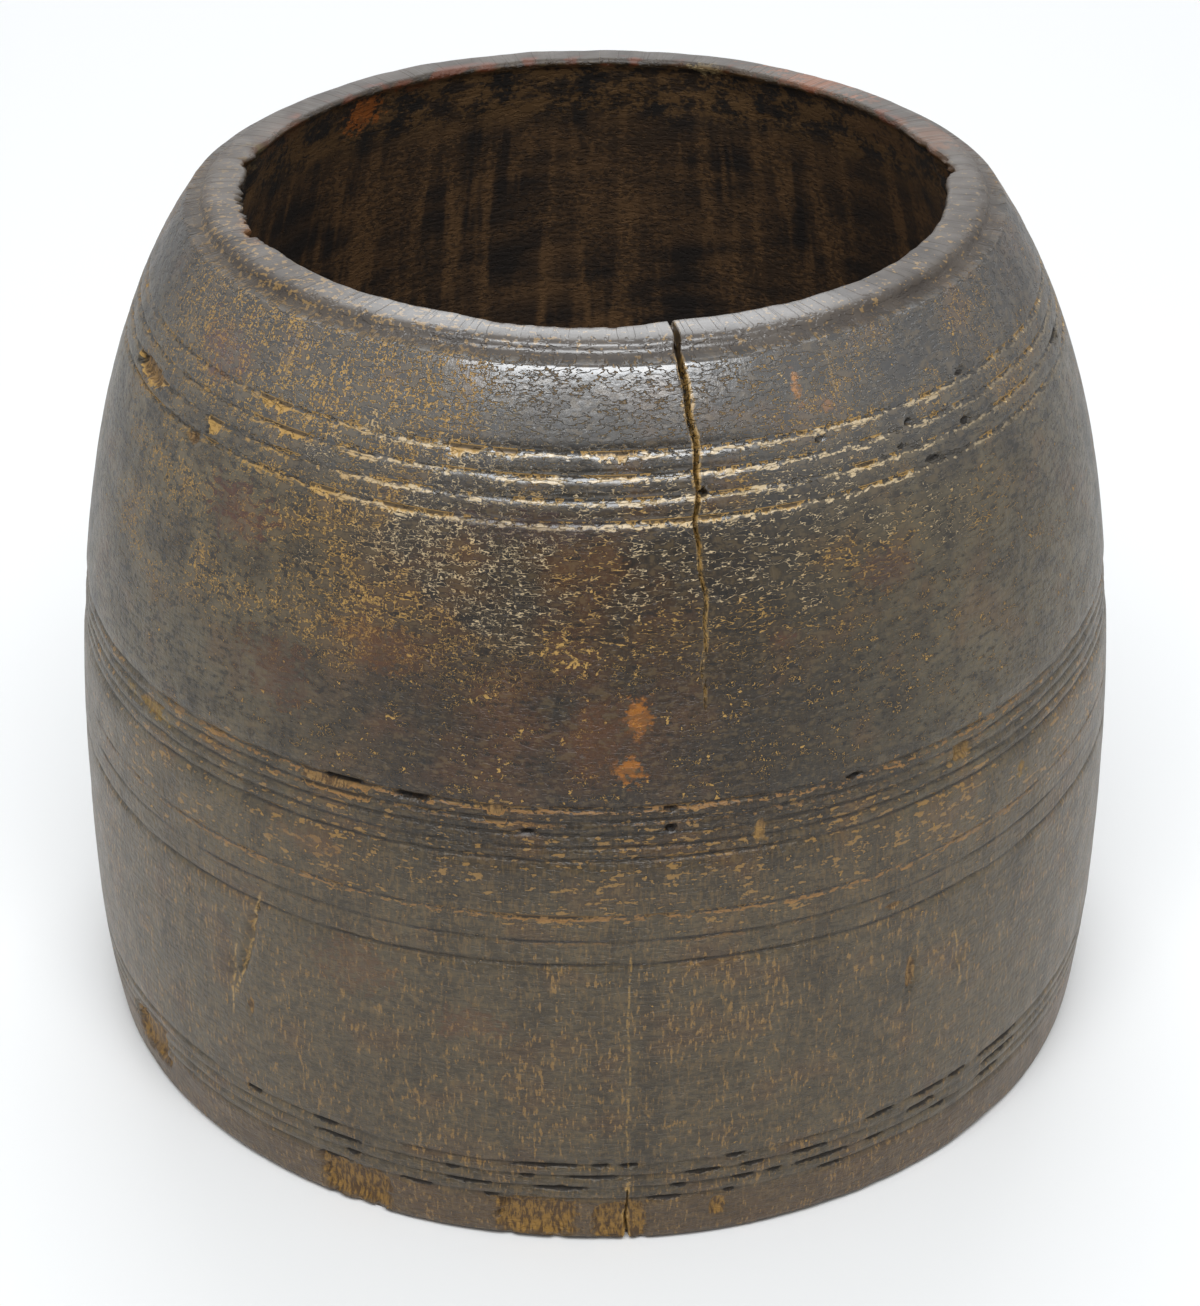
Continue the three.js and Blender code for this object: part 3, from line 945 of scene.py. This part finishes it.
# %% [markdown]
# ## The tree that turns and wears the vessel
#
# The tree works in the order of the real object's life. First it turns the sheet into the smooth vessel.
# Then it cuts the lines, opens the splits and takes out the knocks, by moving every point inwards along its
# normal. Last, it leans the rim, because the block has moved as it dried and stands higher at the back. It
# also stores what the finish needs to know.


# %% Wiring of the vessel
def store(shape, name, value, kind="FLOAT"):
    """Writes a value on the points under a name."""
    stored = {"Geometry": shape, "Name": name, "Value": value}
    node = add_node(shape.tree, "GeometryNodeStoreNamedAttribute", stored, data_type=kind, domain="POINT")
    return Wire(shape.tree, node.outputs["Geometry"])


def move(shape, socket, value):
    """Sets the points' position, or adds an offset to it."""
    node = add_node(shape.tree, "GeometryNodeSetPosition", {"Geometry": shape, socket: value})
    return Wire(shape.tree, node.outputs[0])


def on_ring(angle, radius, height):
    """The point at an angle round from the front, a distance from the axis and a height."""
    turned = angle * (math.pi / 180)
    return point_at(angle.tree, turned.calc("SINE") * radius, turned.calc("COSINE") * radius * -1, height)


def vessel_tree():
    tree = bpy.data.node_groups.new("turned and worn vessel", "GeometryNodeTree")
    sizes = {
        "Line depth": LINE_DEPTH,
        "Crumb depth": 0.4,
        "Split depth": 1.0,
        "Knock depth": 1.0,
        "Roll rise": 0.35,
        "Band inset": 0.25,
        "Right drift": 1.5,
        "Tool waves": 0.22,
        "Dents": 0.35,
        "Gouge marks": 0.45,
        "Rim rise": RIM_RISE,
    }
    tree.interface.new_socket("Geometry", in_out="INPUT", socket_type="NodeSocketGeometry")
    identifiers = {}
    for name, value in sizes.items():
        socket = tree.interface.new_socket(name, in_out="INPUT", socket_type="NodeSocketFloat")
        identifiers[name] = (socket.identifier, value)
    finish = tree.interface.new_socket("Finish", in_out="INPUT", socket_type="NodeSocketMaterial")
    tree.interface.new_socket("Geometry", in_out="OUTPUT", socket_type="NodeSocketGeometry")
    entry = tree.nodes.new("NodeGroupInput")
    size = {name: Wire(tree, entry.outputs[name]) for name in sizes}

    at = Place(tree)
    place = on_ring(at.angle, BELLY_RADIUS, at.height)
    solid = on_ring(at.angle, at.radius, at.height)
    for name, (wide, tall, seed) in CLOUDS.items():
        at.known[name] = noise(solid, wide, tall, 3, 0.6, seed)
    at.known["streaks"] = noise(solid, 4.5, 60, 3, 0.6, 12)

    # Turning: the bands drift up to the right, and the mouth is bitten.
    right = ease(at.angle, 22, 70) * ease(at.angle, 170, 110)
    drift = right * size["Right drift"] * ease(at.height, 128, 95) * ease(at.height, 2, 12)
    between = ease(at.height, 2, 12) * ease(at.height, 138, 128)
    drift = drift + (noise(place, 60, 200, 1) - 0.5) * 1.6 * between
    jag = ease(noise(place, 2.6, 2.6, 3, 0.6, 3.0), 0.42, 0.58)
    back = at["whole bite"] + at["jagged bite"] * jag
    ragged = (noise(place, 5, 3, 3, 0.6, 9) - 0.5) * 0.9
    turned_radius = at.radius + (back + ragged) * at.mouth
    foot_wave = (noise(place, 14, 40, 2, 0.5, 4) - 0.42).most(0) * 1.6 * ease(at.height, 2.5, 0.5) * at.wall
    rim_wave = (noise(place, 12, 12, 2, 0.5, 8) - 0.5) * at.lip * 0.7
    turned_height = at.height + drift * at.wall + foot_wave - at["bite drop"] * jag * at.mouth - rim_wave
    turned = on_ring(at.angle, turned_radius, turned_height)
    flat = Wire(tree, entry.outputs["Geometry"])
    shape = move(flat, "Position", turned)

    # Wear: everything that lies deeper than the turned wall.
    broken = ease(noise(place, 14, 3, 2, 0.5, 2), 0.34, 0.56)
    lines = 0.0
    for band in BANDS:
        lines = line_cut(at.height, band).most(lines)
    sunk = lines * (broken * 0.65 + 0.35) * size["Line depth"]
    inside, _ = crumbs(place, at.height, at.middling, at.hang)
    sunk = sunk.most(ease(inside, 0, 0.5) * size["Crumb depth"])
    opened = 0.0
    for name, split in SPLITS.items():
        share = split_share(at[name].size(), at.height, split)
        opened = (ease(share, 0, 0.8) * split["depth"]).most(opened)
    opened = opened * size["Split depth"]
    frayed = (noise(solid, 2.2, 1.6, 3, 0.65, 6) - 0.5) * 1.1
    sunk = sunk.most(ease(at.knock + frayed, 0.0, 0.35) * at.deep * size["Knock depth"])
    inset = ease(at.height, 71.6, 72.8) * ease(at.height, 83.4, 82.4) * size["Band inset"]
    across = (at.height - 64.6) / 8.9
    roll = (1 - across * across).most(0) * size["Roll rise"]
    waves = (noise(place, 26, 16, 2, 0.5, 5) - 0.5) * 2 * size["Tool waves"]
    gouges = (noise(place, 7, 42, 2, 0.5, 15) - 0.5) * 2 * size["Gouge marks"]
    dents = (noise(solid, 5, 4, 2, 0.6, 93) - 0.5) * size["Dents"] * at.wall
    inwards = at.wall * (sunk + inset - roll + waves) + at.hollow * gouges + dents
    inwards = inwards.most(opened * (at.wall + at.lip).least(1))
    normal = Wire(tree, add_node(tree, "GeometryNodeInputNormal").outputs[0])
    push = add_node(tree, "ShaderNodeVectorMath", {0: normal, "Scale": inwards * -1}, operation="SCALE")
    shape = move(shape, "Offset", Wire(tree, push.outputs[0]))

    # What the finish needs.
    clues = gathering(at) | {name: at[name] for name in CLOUDS}
    clues |= {"bitten": back * at.mouth, "frayed": frayed}
    for name, value in clues.items():
        shape = store(shape, name, value)
    shape = store(shape, "skin", skin_colour(at), "FLOAT_COLOR")

    # Leaning, and from millimetres to metres.
    position = add_node(tree, "GeometryNodeInputPosition")
    x, y, z = parts(Wire(tree, position.outputs[0]))
    up = ((z - BELLY_HEIGHT) / (HEIGHT - BELLY_HEIGHT)).between(0, 1)
    leaned = z.most(0) + up * up * y * size["Rim rise"] / (2 * (MOUTH_RADIUS + LIP_WIDTH))
    metres = point_at(tree, x * 0.001, y * 0.001, leaned.least(TOP) * 0.001)
    shape = move(shape, "Position", metres)
    shape = Wire(tree, add_node(tree, "GeometryNodeRealizeInstances", {"Geometry": shape}).outputs[0])
    painted = {"Geometry": shape, "Material": Wire(tree, entry.outputs["Finish"])}
    shape = Wire(tree, add_node(tree, "GeometryNodeSetMaterial", painted).outputs[0])
    leave = tree.nodes.new("NodeGroupOutput")
    feed(leave.inputs[0], shape)
    return tree, identifiers, finish.identifier


print("the vessel's tree is described")

# %% [markdown]
# ## Old wood: what the shader knows
#
# The shader reads the numbers that the mesh carries and adds three fine noises of its own: one lying, one
# round and one upright. Every small mark on the wood is cut out of these three.


# %% The shader's place
def shader_place(tree):
    """A place on the vessel as the shader knows it: its angle, its point in millimetres and three noises."""
    at = Place(tree)
    object_place = Wire(tree, add_node(tree, "ShaderNodeTexCoord").outputs["Object"])
    scaled = add_node(tree, "ShaderNodeVectorMath", {0: object_place, "Scale": 1000.0}, operation="SCALE")
    real = Wire(tree, scaled.outputs[0])
    x, y, _ = parts(real)
    spread = BELLY_RADIUS / ((x * x + y * y) ** 0.5).most(1)
    place = point_at(tree, x * spread, y * spread, at.height)
    at.known["angle"] = x.calc("ARCTAN2", y * -1) * (180 / math.pi)
    at.known["place"] = place
    at.known["lying"] = noise(place, 2.7, 0.75, 2, 0.6, 20)
    at.known["round"] = noise(real, 1.0, 0.9, 2, 0.6, 24)
    at.known["upright"] = noise(place, 0.5, 2.0, 2, 0.6, 27)
    return at


def add_fine_skin(at):
    """The broad colour with dark and light specks, and the grain below the bands."""
    upper = ease(at.height, 60, 90)
    specks = at.small * 0.2 + at.round * 0.4 + at.lying * 0.4
    colour = glaze(ease(specks, 0.5, 0.58) * (upper * 0.45 + 0.35), at.skin, tone(18, 14, 10))
    colour = glaze(ease(specks, 0.47, 0.41) * 0.3, colour, tone(108, 90, 60))
    grain_there = ease(at.height, 92, 60) * 0.3 + 0.05
    return glaze(ease(at.upright, 0.5, 0.62) * grain_there, colour, tone(120, 94, 54))


def add_stains(at, colour):
    frayed = at["stain near"] + (at.small + at.round - 1) * 2.6
    broken = ease(at.lying, 0.42, 0.54) * 0.5 + 0.5
    return glaze(ease(frayed, 0.0, 0.6) * at["stain share"] * broken, colour, at.stain)


# %% Masks of the flecks
def spots(cloud, edge, gather, soft=0.03):
    """1 in spots where a cloudy number is above its edge; none are left where gather is 0."""
    return ease(cloud - (1 - gather) * 0.17, edge, edge + soft)


def rings(cloud, level, thin, gather):
    """1 on the wavy threads where a cloudy number passes its level; thinner where gather is less."""
    return ease((cloud - level).size(), gather * thin, gather * thin * 0.4 - 0.002)


def flecks(at):
    """How light the flecks make a place: sharp ones that stand out in relief, and dull ones."""
    broken = ease(at.round, 0.42, 0.5)
    strokes = rings(at.lying, 0.53, 0.046, at.strokes_there) * broken
    grains = rings(at.round * 0.6 + at.lying * 0.4, 0.51, 0.044, at.grains_there) * ease(at.upright, 0.4, 0.5)
    curls = rings(at.round, 0.57, 0.03, at.curls_there) * ease(at.lying, 0.46, 0.54)
    dots = spots(at.round, 0.56, at.dots_there)
    dashes = spots(at.lying * 0.6 + at.round * 0.4, 0.54, at.dashes_there) * 0.75
    upright = spots(at.upright * 0.65 + at.round * 0.35, 0.54, at.upright_there, 0.04) * 0.6
    return strokes.most(grains).most(dots).most(curls) * at.wall, dashes.most(upright) * at.wall


print("masks are ready")

# %% [markdown]
# ## Old wood: the whole finish
#
# The order of the glazes is the order of the object's life: skin, flecks, turned lines, crumbs, knocks,
# splits, the lip and the hollow, and last the stains. Every mask that breaks the skin also goes into the
# relief, so the light catches its lower edge as it does on the real wood. The colour also carries painted
# shade in the cuts, the open splits, the dark knocks and the lip's crease, and painted highlight on the lower
# lips of the lines and chips. The relief is written in millimetres. Hands have polished the front of the
# shoulder and the lip, so a thin coat lies over them.


# %% Lines, crumbs and knocks
def add_lines(at, colour):
    """Lays the lines and their crumbs over the skin, with painted shade in the cuts and under the chips'
    upper edges and painted highlight on their lower lips; also returns the share of broken skin.
    """
    upper = at.height.calc("GREATER_THAN", 100)
    lifted = at.height + (at.small - 0.5) * 1.2 + (at.lying - 0.5) * 2.0
    groove = 0.0
    for band in BANDS:
        groove = line_cut(at.height, band, 1.0).most(groove)
    # The cuts are darkened with painted shade.
    groove_shade = (ease(at.middling, 0.4, 0.55) * 0.5 + 0.3) * (ease(at.height, 20, 60) * 0.7 + 0.3)
    colour = glaze(ease(groove, 0.2, 0.9) * groove_shade * at.wall, colour, PAINTED_SHADE)
    line, below = find_line(lifted)
    worn = line_wear(line)
    kept = ease(at.round * 0.6 + at.middling * 0.4 + worn * 0.1, 0.54, 0.6)
    # A light thread on the lower lip of each line, partly light wood and partly painted highlight.
    edge = ease((below - 0.5).size(), 0.34, 0.1)
    thread = edge * kept * at.wall * (ease(at.angle.size(), 60, 30) * 0.65 + 0.2) * worn
    light = glaze(upper, tone(140, 102, 56), glaze(ease(at.angle, -34, -20), OCHRE, CREAM))
    colour = glaze(thread, colour, light)
    inside, depth_below = crumbs(at.place, at.height, at.middling, at.hang)
    chip = ease(inside, 0.0, 0.1) * at.wall
    colour = glaze(chip * 0.9, colour, glaze(upper, tone(116, 88, 48), OCHRE))
    # Each chip gets a painted highlight on its lower lip and painted shadow under its upper edge.
    colour = glaze(chip * ease(inside, 0.5, 0.2) * ease(depth_below, 0.2, 0.5) * 0.9, colour, light)
    colour = glaze(chip * ease(depth_below, 0.5, 0.25) * ease(inside, 0.1, 0.5) * 0.85, colour, PAINTED_SHADE)
    return colour, (thread * 0.5).most(chip)


def add_knocks(at, colour):
    """Lays pale knocks, and dark knocks painted near black as shade in the holes, over the colour; also
    returns the share of broken skin.
    """
    frayed = at.frayed * 0.6 + (at.round - 0.5) * 0.6
    grain = ease(at.upright, 0.4, 0.6)
    flaked = glaze(grain, tone(74, 50, 18), tone(140, 104, 42))
    worn = glaze(grain, tone(80, 58, 32), tone(138, 106, 60))
    pale = ease(at.pale + frayed, 0.0, 0.16) * at.wall
    colour = glaze(pale * 0.9, colour, glaze(ease(at.height, 18, 14), worn, flaked))
    # The dark knocks are painted shade in their holes.
    dark = ease(at.dark + frayed, 0.0, 0.2) * at.wall
    return glaze(dark * 0.85, colour, PAINTED_SHADE), (pale * 0.6).most(dark)


# %% Splits and hairlines
def add_splits(at, colour):
    """Lays ragged ochre edges and painted shade in the open middle of each split, and a thin light line on
    each hairline.
    """
    outside = (at.wall + at.lip).least(1)
    dotted = ease(at.round, 0.42, 0.52) * outside
    for name, split in SPLITS.items():
        bottom, top, dark_from = split["bottom"], split["top"], split["dark_from"]
        away = at[name].size()
        share = split_share(away, at.height, split)
        ends = ease(at.height, bottom - 1, bottom + 2) * ease(at.height, top + 3, top)
        along = (at.height - bottom) / (top - bottom)
        half = along.between(0, 1) * split["edge"] * split["opens"] * 0.6 + split["edge"] * 0.55
        crumbled = ease(at.height, dark_from - 10, dark_from + 2)
        ragged = (at.small - 0.5) * (crumbled * 2.0 + 0.4) - crumbled * 0.3
        edge = ease(away + ragged - half, 0.2, -0.2) * ends * (dotted * 0.8 + 0.1)
        colour = glaze(edge * outside, colour, tone(170, 136, 78))
        # The open middle of each split is darkened with painted shade.
        split_shade = ease(at.height, dark_from - 8, dark_from + 4) * 0.85 + 0.1
        split_shade = split_shade * (1 - dotted * 0.5)
        colour = glaze(ease(share, 0.4, 0.8) * split_shade * outside, colour, PAINTED_SHADE)
    for name, line in HAIRLINES.items():
        ends = ease(at.height, line["bottom"] - 1, line["bottom"] + 1)
        ends = ends * ease(at.height, line["top"] + 1, line["top"] - 1)
        hair = ease(at[name].size(), line["half"], line["half"] * 0.3)
        colour = glaze(hair * ends * dotted * 0.7, colour, tone(144, 114, 62))
    return colour


# %% The lip and the hollow
def add_lip(at, colour):
    """Rubs the lip grey brown, paints a faint shade in its crease, dusts it with ochre at the front and shows
    fresh wood in the bites.
    """
    rubbed = glaze(ease(at.small * 0.5 + at.broad * 0.5, 0.42, 0.6), tone(72, 62, 52), tone(50, 40, 31))
    colour = glaze(ease(at.lip, 0.25, 0.8) * 0.85, colour, rubbed)
    # A faint painted shade in the crease between the lip and the shoulder.
    colour = glaze(ease(at.wall * at.lip, 0.12, 0.24) * 0.05, colour, PAINTED_SHADE)
    dusty = ease(at.round + ease(at.angle, 10, -30) * 0.05, 0.6, 0.66)
    colour = glaze(dusty * at.lip * ease(at.angle.size(), 120, 60) * 0.45, colour, OCHRE)
    torn = ease(at.bitten + (at.small - 0.5) * 2, 0.3, 1.2) * at.mouth
    colour = glaze(torn * 0.8, colour, tone(84, 56, 28))
    back = ease(at.angle.size(), 95, 125) * ease(at.mouth, 0.1, 0.5)
    return glaze(ease(at.small, 0.52, 0.6) * back * 0.7, colour, tone(104, 54, 30))


def add_hollow(at, colour):
    """Dark rough wood inside, streaked along the grain, with a mottled zone under the mouth."""
    streaks = ease(noise(at.place, 5.0, 34, 2, 0.6, 80) * 0.7 + at.small * 0.3, 0.44, 0.62)
    wood = glaze(streaks * 0.8, tone(28, 19, 12), tone(116, 84, 50))
    wood = glaze(ease(at.broad * 0.6 + at.small * 0.4, 0.44, 0.58) * 0.6, wood, tone(104, 75, 45))
    wood = glaze(ease(at.round * 0.5 + at.middling * 0.5, 0.48, 0.56) * 0.6, wood, tone(22, 15, 9))
    top = glaze(ease(at.small * 0.6 + at.round * 0.4, 0.45, 0.56), tone(18, 12, 7), tone(112, 82, 46))
    wood = glaze(ease(at.height, 130, 137) * 0.75, wood, top)
    return glaze(at.hollow, colour, wood)


# %% Old wood
def old_wood_finish():
    material = bpy.data.materials.new("old oiled wood")
    material.use_nodes = True
    tree = material.node_tree
    tree.nodes.clear()
    at = shader_place(tree)
    colour = add_fine_skin(at)
    sharp, dull = flecks(at)
    # Flecks on the front of the upper wall turn cream, partly as painted highlight.
    warm = ease(at.middling - at["pale flecks and painted highlight"] * 0.3 + 0.2, 0.42, 0.58)
    kept_dark = ease(at.height, 126, 132) * ease((at.angle - 3).size(), 20, 10)
    colour = glaze(sharp * (0.9 - kept_dark * 0.6), colour, glaze(warm, CREAM, OCHRE))
    colour = glaze(dull, colour, tone(146, 112, 60))
    colour, crumbled = add_lines(at, colour)
    colour, knocked = add_knocks(at, colour)
    colour = add_splits(at, colour)
    colour = add_hollow(at, add_lip(at, colour))
    colour = add_stains(at, colour)
    shader = add_node(tree, "ShaderNodeBsdfPrincipled", {"Base Color": colour})
    shader.inputs["IOR"].default_value = 1.5
    shader.inputs["Specular IOR Level"].default_value = 0.5
    torn_open = sharp.most(crumbled).most(knocked)
    shoulder = ease(at.height, 104, 138).most(at.lip)
    turned_away = ease(at.angle.size(), 20, 50)
    handled = ease(at.height, 116, 138) * ease(at.angle.size(), 75, 25) * (at.wall - at.lip).most(0)
    handled = handled.most(at.lip * (1 - turned_away) * 0.5)
    rough = torn_open * 0.3 + 0.4 - handled * 0.16 + at.lip * turned_away * 0.12 + (at.small - 0.5) * 0.25
    feed(shader.inputs["Roughness"], rough.between(0.2, 1) * (1 - at.hollow) + at.hollow * 0.9)
    feed(shader.inputs["Coat Weight"], handled * (1 - torn_open * 0.8) * 0.9)
    shader.inputs["Coat IOR"].default_value = 1.8
    shader.inputs["Coat Roughness"].default_value = 0.26
    high = ease(at.height, 96, 128) * (at.wall - at.lip).most(0) * 0.22 + 0.08
    flaked = ease(at.lying, 0.55, 0.48)
    fine = (1 - shoulder * 0.75) * 0.16
    relief = flaked * high + at.round * fine + at.upright * fine * 0.5 - torn_open * 0.1
    bump = add_node(tree, "ShaderNodeBump", {"Height": relief, "Distance": 0.001, "Strength": 1.0})
    feed(shader.inputs["Normal"], Wire(tree, bump.outputs[0]))
    feed(shader.inputs["Coat Normal"], Wire(tree, bump.outputs[0]))
    add_node(tree, "ShaderNodeOutputMaterial", {"Surface": Wire(tree, shader.outputs[0])})
    return material


OLD_WOOD = old_wood_finish()
print("nodes in the finish:", len(OLD_WOOD.node_tree.nodes))

# %% [markdown]
# ## Turning the sheet into a plain mesh
#
# The modifier's inputs are set by their identifiers before the object is first evaluated. The evaluated
# result is then copied to a plain mesh, and the modifier goes, so only the mesh is left.

# %% Bake the vessel
tree, identifiers, finish_identifier = vessel_tree()
holder = bpy.data.objects.new("sheet", sheet)
bpy.context.scene.collection.objects.link(holder)
modifier = holder.modifiers.new("turning", "NODES")
modifier.node_group = tree
for identifier, value in identifiers.values():
    modifier[identifier] = value
modifier[finish_identifier] = OLD_WOOD
bpy.context.view_layer.update()
graph = bpy.context.evaluated_depsgraph_get()
worn_sheet = holder.evaluated_get(graph)
baked = bpy.data.meshes.new_from_object(worn_sheet, preserve_all_data_layers=True, depsgraph=graph)
bpy.data.objects.remove(holder)
baked.name = "grain measure"
for face in baked.polygons:
    face.use_smooth = True
measure = bpy.data.objects.new("grain_measure", baked)
bpy.context.scene.collection.objects.link(measure)
places = np.zeros(len(baked.vertices) * 3)
baked.vertices.foreach_get("co", places)
places = places.reshape(-1, 3)
print("baked box:", places.min(0).round(4), places.max(0).round(4), "materials", len(baked.materials))
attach(measure, "root")
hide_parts("measure_body")

# %% [markdown]
# ## A pale floor
#
# The measure stands on a plain pale floor that keeps its soft shadow. A metre away the floor has no more to
# show, so for rays from the camera alone it fades into the white of the room. That adds no light.

# %% Floor
BACKDROP = (0.96, 0.98, 1.0, 1)
FLOOR_HALF = 1.6
FADE_FROM, FADE_TO = 0.5, 0.9


def floor_finish():
    """A pale floor that the camera sees fade into the white backdrop, well away from the measure's shadow."""
    material = bpy.data.materials.new("pale floor")
    material.use_nodes = True
    tree = material.node_tree
    shader = tree.nodes["Principled BSDF"]
    shader.inputs["Base Color"].default_value = (0.90, 0.895, 0.885, 1)
    shader.inputs["Roughness"].default_value = 0.7
    x, y, _ = parts(Wire(tree, add_node(tree, "ShaderNodeTexCoord").outputs["Object"]))
    away = (x * x + y * y).calc("SQRT")
    camera_ray = Wire(tree, add_node(tree, "ShaderNodeLightPath").outputs["Is Camera Ray"])
    backdrop = add_node(tree, "ShaderNodeEmission")
    backdrop.inputs["Color"].default_value = BACKDROP
    fade = add_node(tree, "ShaderNodeMixShader", {"Fac": ease(away, FADE_FROM, FADE_TO) * camera_ray})
    tree.links.new(shader.outputs[0], fade.inputs[1])
    tree.links.new(backdrop.outputs[0], fade.inputs[2])
    tree.links.new(fade.outputs[0], tree.nodes["Material Output"].inputs["Surface"])
    return material


floor_mesh = bpy.data.meshes.new("floor")
floor_corners = [(x * FLOOR_HALF, y * FLOOR_HALF, 0) for x, y in ((-1, -1), (1, -1), (1, 1), (-1, 1))]
floor_mesh.from_pydata(floor_corners, [], [(0, 1, 2, 3)])
floor_mesh.materials.append(floor_finish())
floor = bpy.data.objects.new("floor", floor_mesh)
bpy.context.scene.collection.objects.link(floor)
print("floor fades from", FADE_FROM, "to", FADE_TO, "m")

# %% [markdown]
# ## A bright room
#
# A photographer would put the vessel in a white tent. Here the world is white for the camera and for
# reflections, and dimmer as a light. The wall behind the camera is dark, so that the front of the oiled wood
# has a dark thing to mirror and keeps its own brown.

# %% World
def room():
    """A white room whose wall behind the camera is dark, so the front of the object keeps its own tone."""
    world = bpy.data.worlds.new("white room")
    world.use_nodes = True
    tree = world.node_tree
    tree.nodes.clear()
    rays = add_node(tree, "ShaderNodeLightPath")
    camera_ray, glossy_ray, clear_ray = (
        Wire(tree, rays.outputs[name]) for name in ("Is Camera Ray", "Is Glossy Ray", "Is Transmission Ray")
    )
    _, forward, up = parts(Wire(tree, add_node(tree, "ShaderNodeTexCoord").outputs["Generated"]))
    dark_wall = ease(forward, -0.72, -0.94) * ease(up, 0.5, 0.3)
    lit = glossy_ray.most(clear_ray) * (1 - ROOM_LIGHT) + ROOM_LIGHT
    strength = camera_ray.most(lit * (1 - dark_wall * 0.85))
    background = add_node(tree, "ShaderNodeBackground", {"Strength": strength})
    background.inputs["Color"].default_value = BACKDROP
    add_node(tree, "ShaderNodeOutputWorld", {"Surface": Wire(tree, background.outputs[0])})
    return world


ROOM_LIGHT = 0.42
bpy.context.scene.world = room()
print("light of the room:", ROOM_LIGHT)


# %% [markdown]
# ## Three windows
#
# One long window over the camera draws the bright patch on the front of the shoulder. Two behind the vessel
# put a rim of light on the lip and make the shadow fall forward. All are wide, so no edge is hard.

# %% Lamps
def soft_lamp(name, place, target, wide, tall, watts):
    """An area lamp at a place, turned to a target."""
    data = bpy.data.lights.new(name, "AREA")
    data.shape = "RECTANGLE"
    data.size = wide
    data.size_y = tall
    data.energy = watts
    data.color = (0.94, 0.97, 1.0)
    lamp = bpy.data.objects.new(name, data)
    lamp.location = place
    lamp.rotation_euler = (Vector(target) - Vector(place)).to_track_quat("-Z", "Y").to_euler()
    bpy.context.scene.collection.objects.link(lamp)
    return lamp


soft_lamp("front window", (0.0, -0.60, 1.02), (0, -0.06, 0.14), 0.95, 0.42, 11.0)
soft_lamp("back window", (0.0, 1.1, 1.4), (0, 0.3, 0), 1.2, 0.8, 7.5)
soft_lamp("low back window", (0.0, 1.6, 0.9), (0, 0, 0.1), 1.6, 0.5, 5.5)
print("lamps: 3")

# %% [markdown]
# ## The camera
#
# The camera looks down into the mouth from the front, as the photographer did. Its place, its tilt and the
# length of its lens were found by matching the outline, the turned lines, the mouth and the foot.

# %% Camera
CAMERA_PLACE = (0.0, -0.3995, 0.2939)
CAMERA_DOWN = 30.69
camera_data = bpy.data.cameras.new("camera")
camera_data.lens = 72.18
camera_data.sensor_width = 36
camera_data.shift_x = 0.0041
camera = bpy.data.objects.new("camera", camera_data)
camera.location = CAMERA_PLACE
camera.rotation_euler = (math.radians(90 - CAMERA_DOWN), 0, 0)
bpy.context.scene.collection.objects.link(camera)
bpy.context.scene.camera = camera

bpy.context.scene.view_settings.view_transform = "Standard"
print("camera looks down by", CAMERA_DOWN, "degrees")
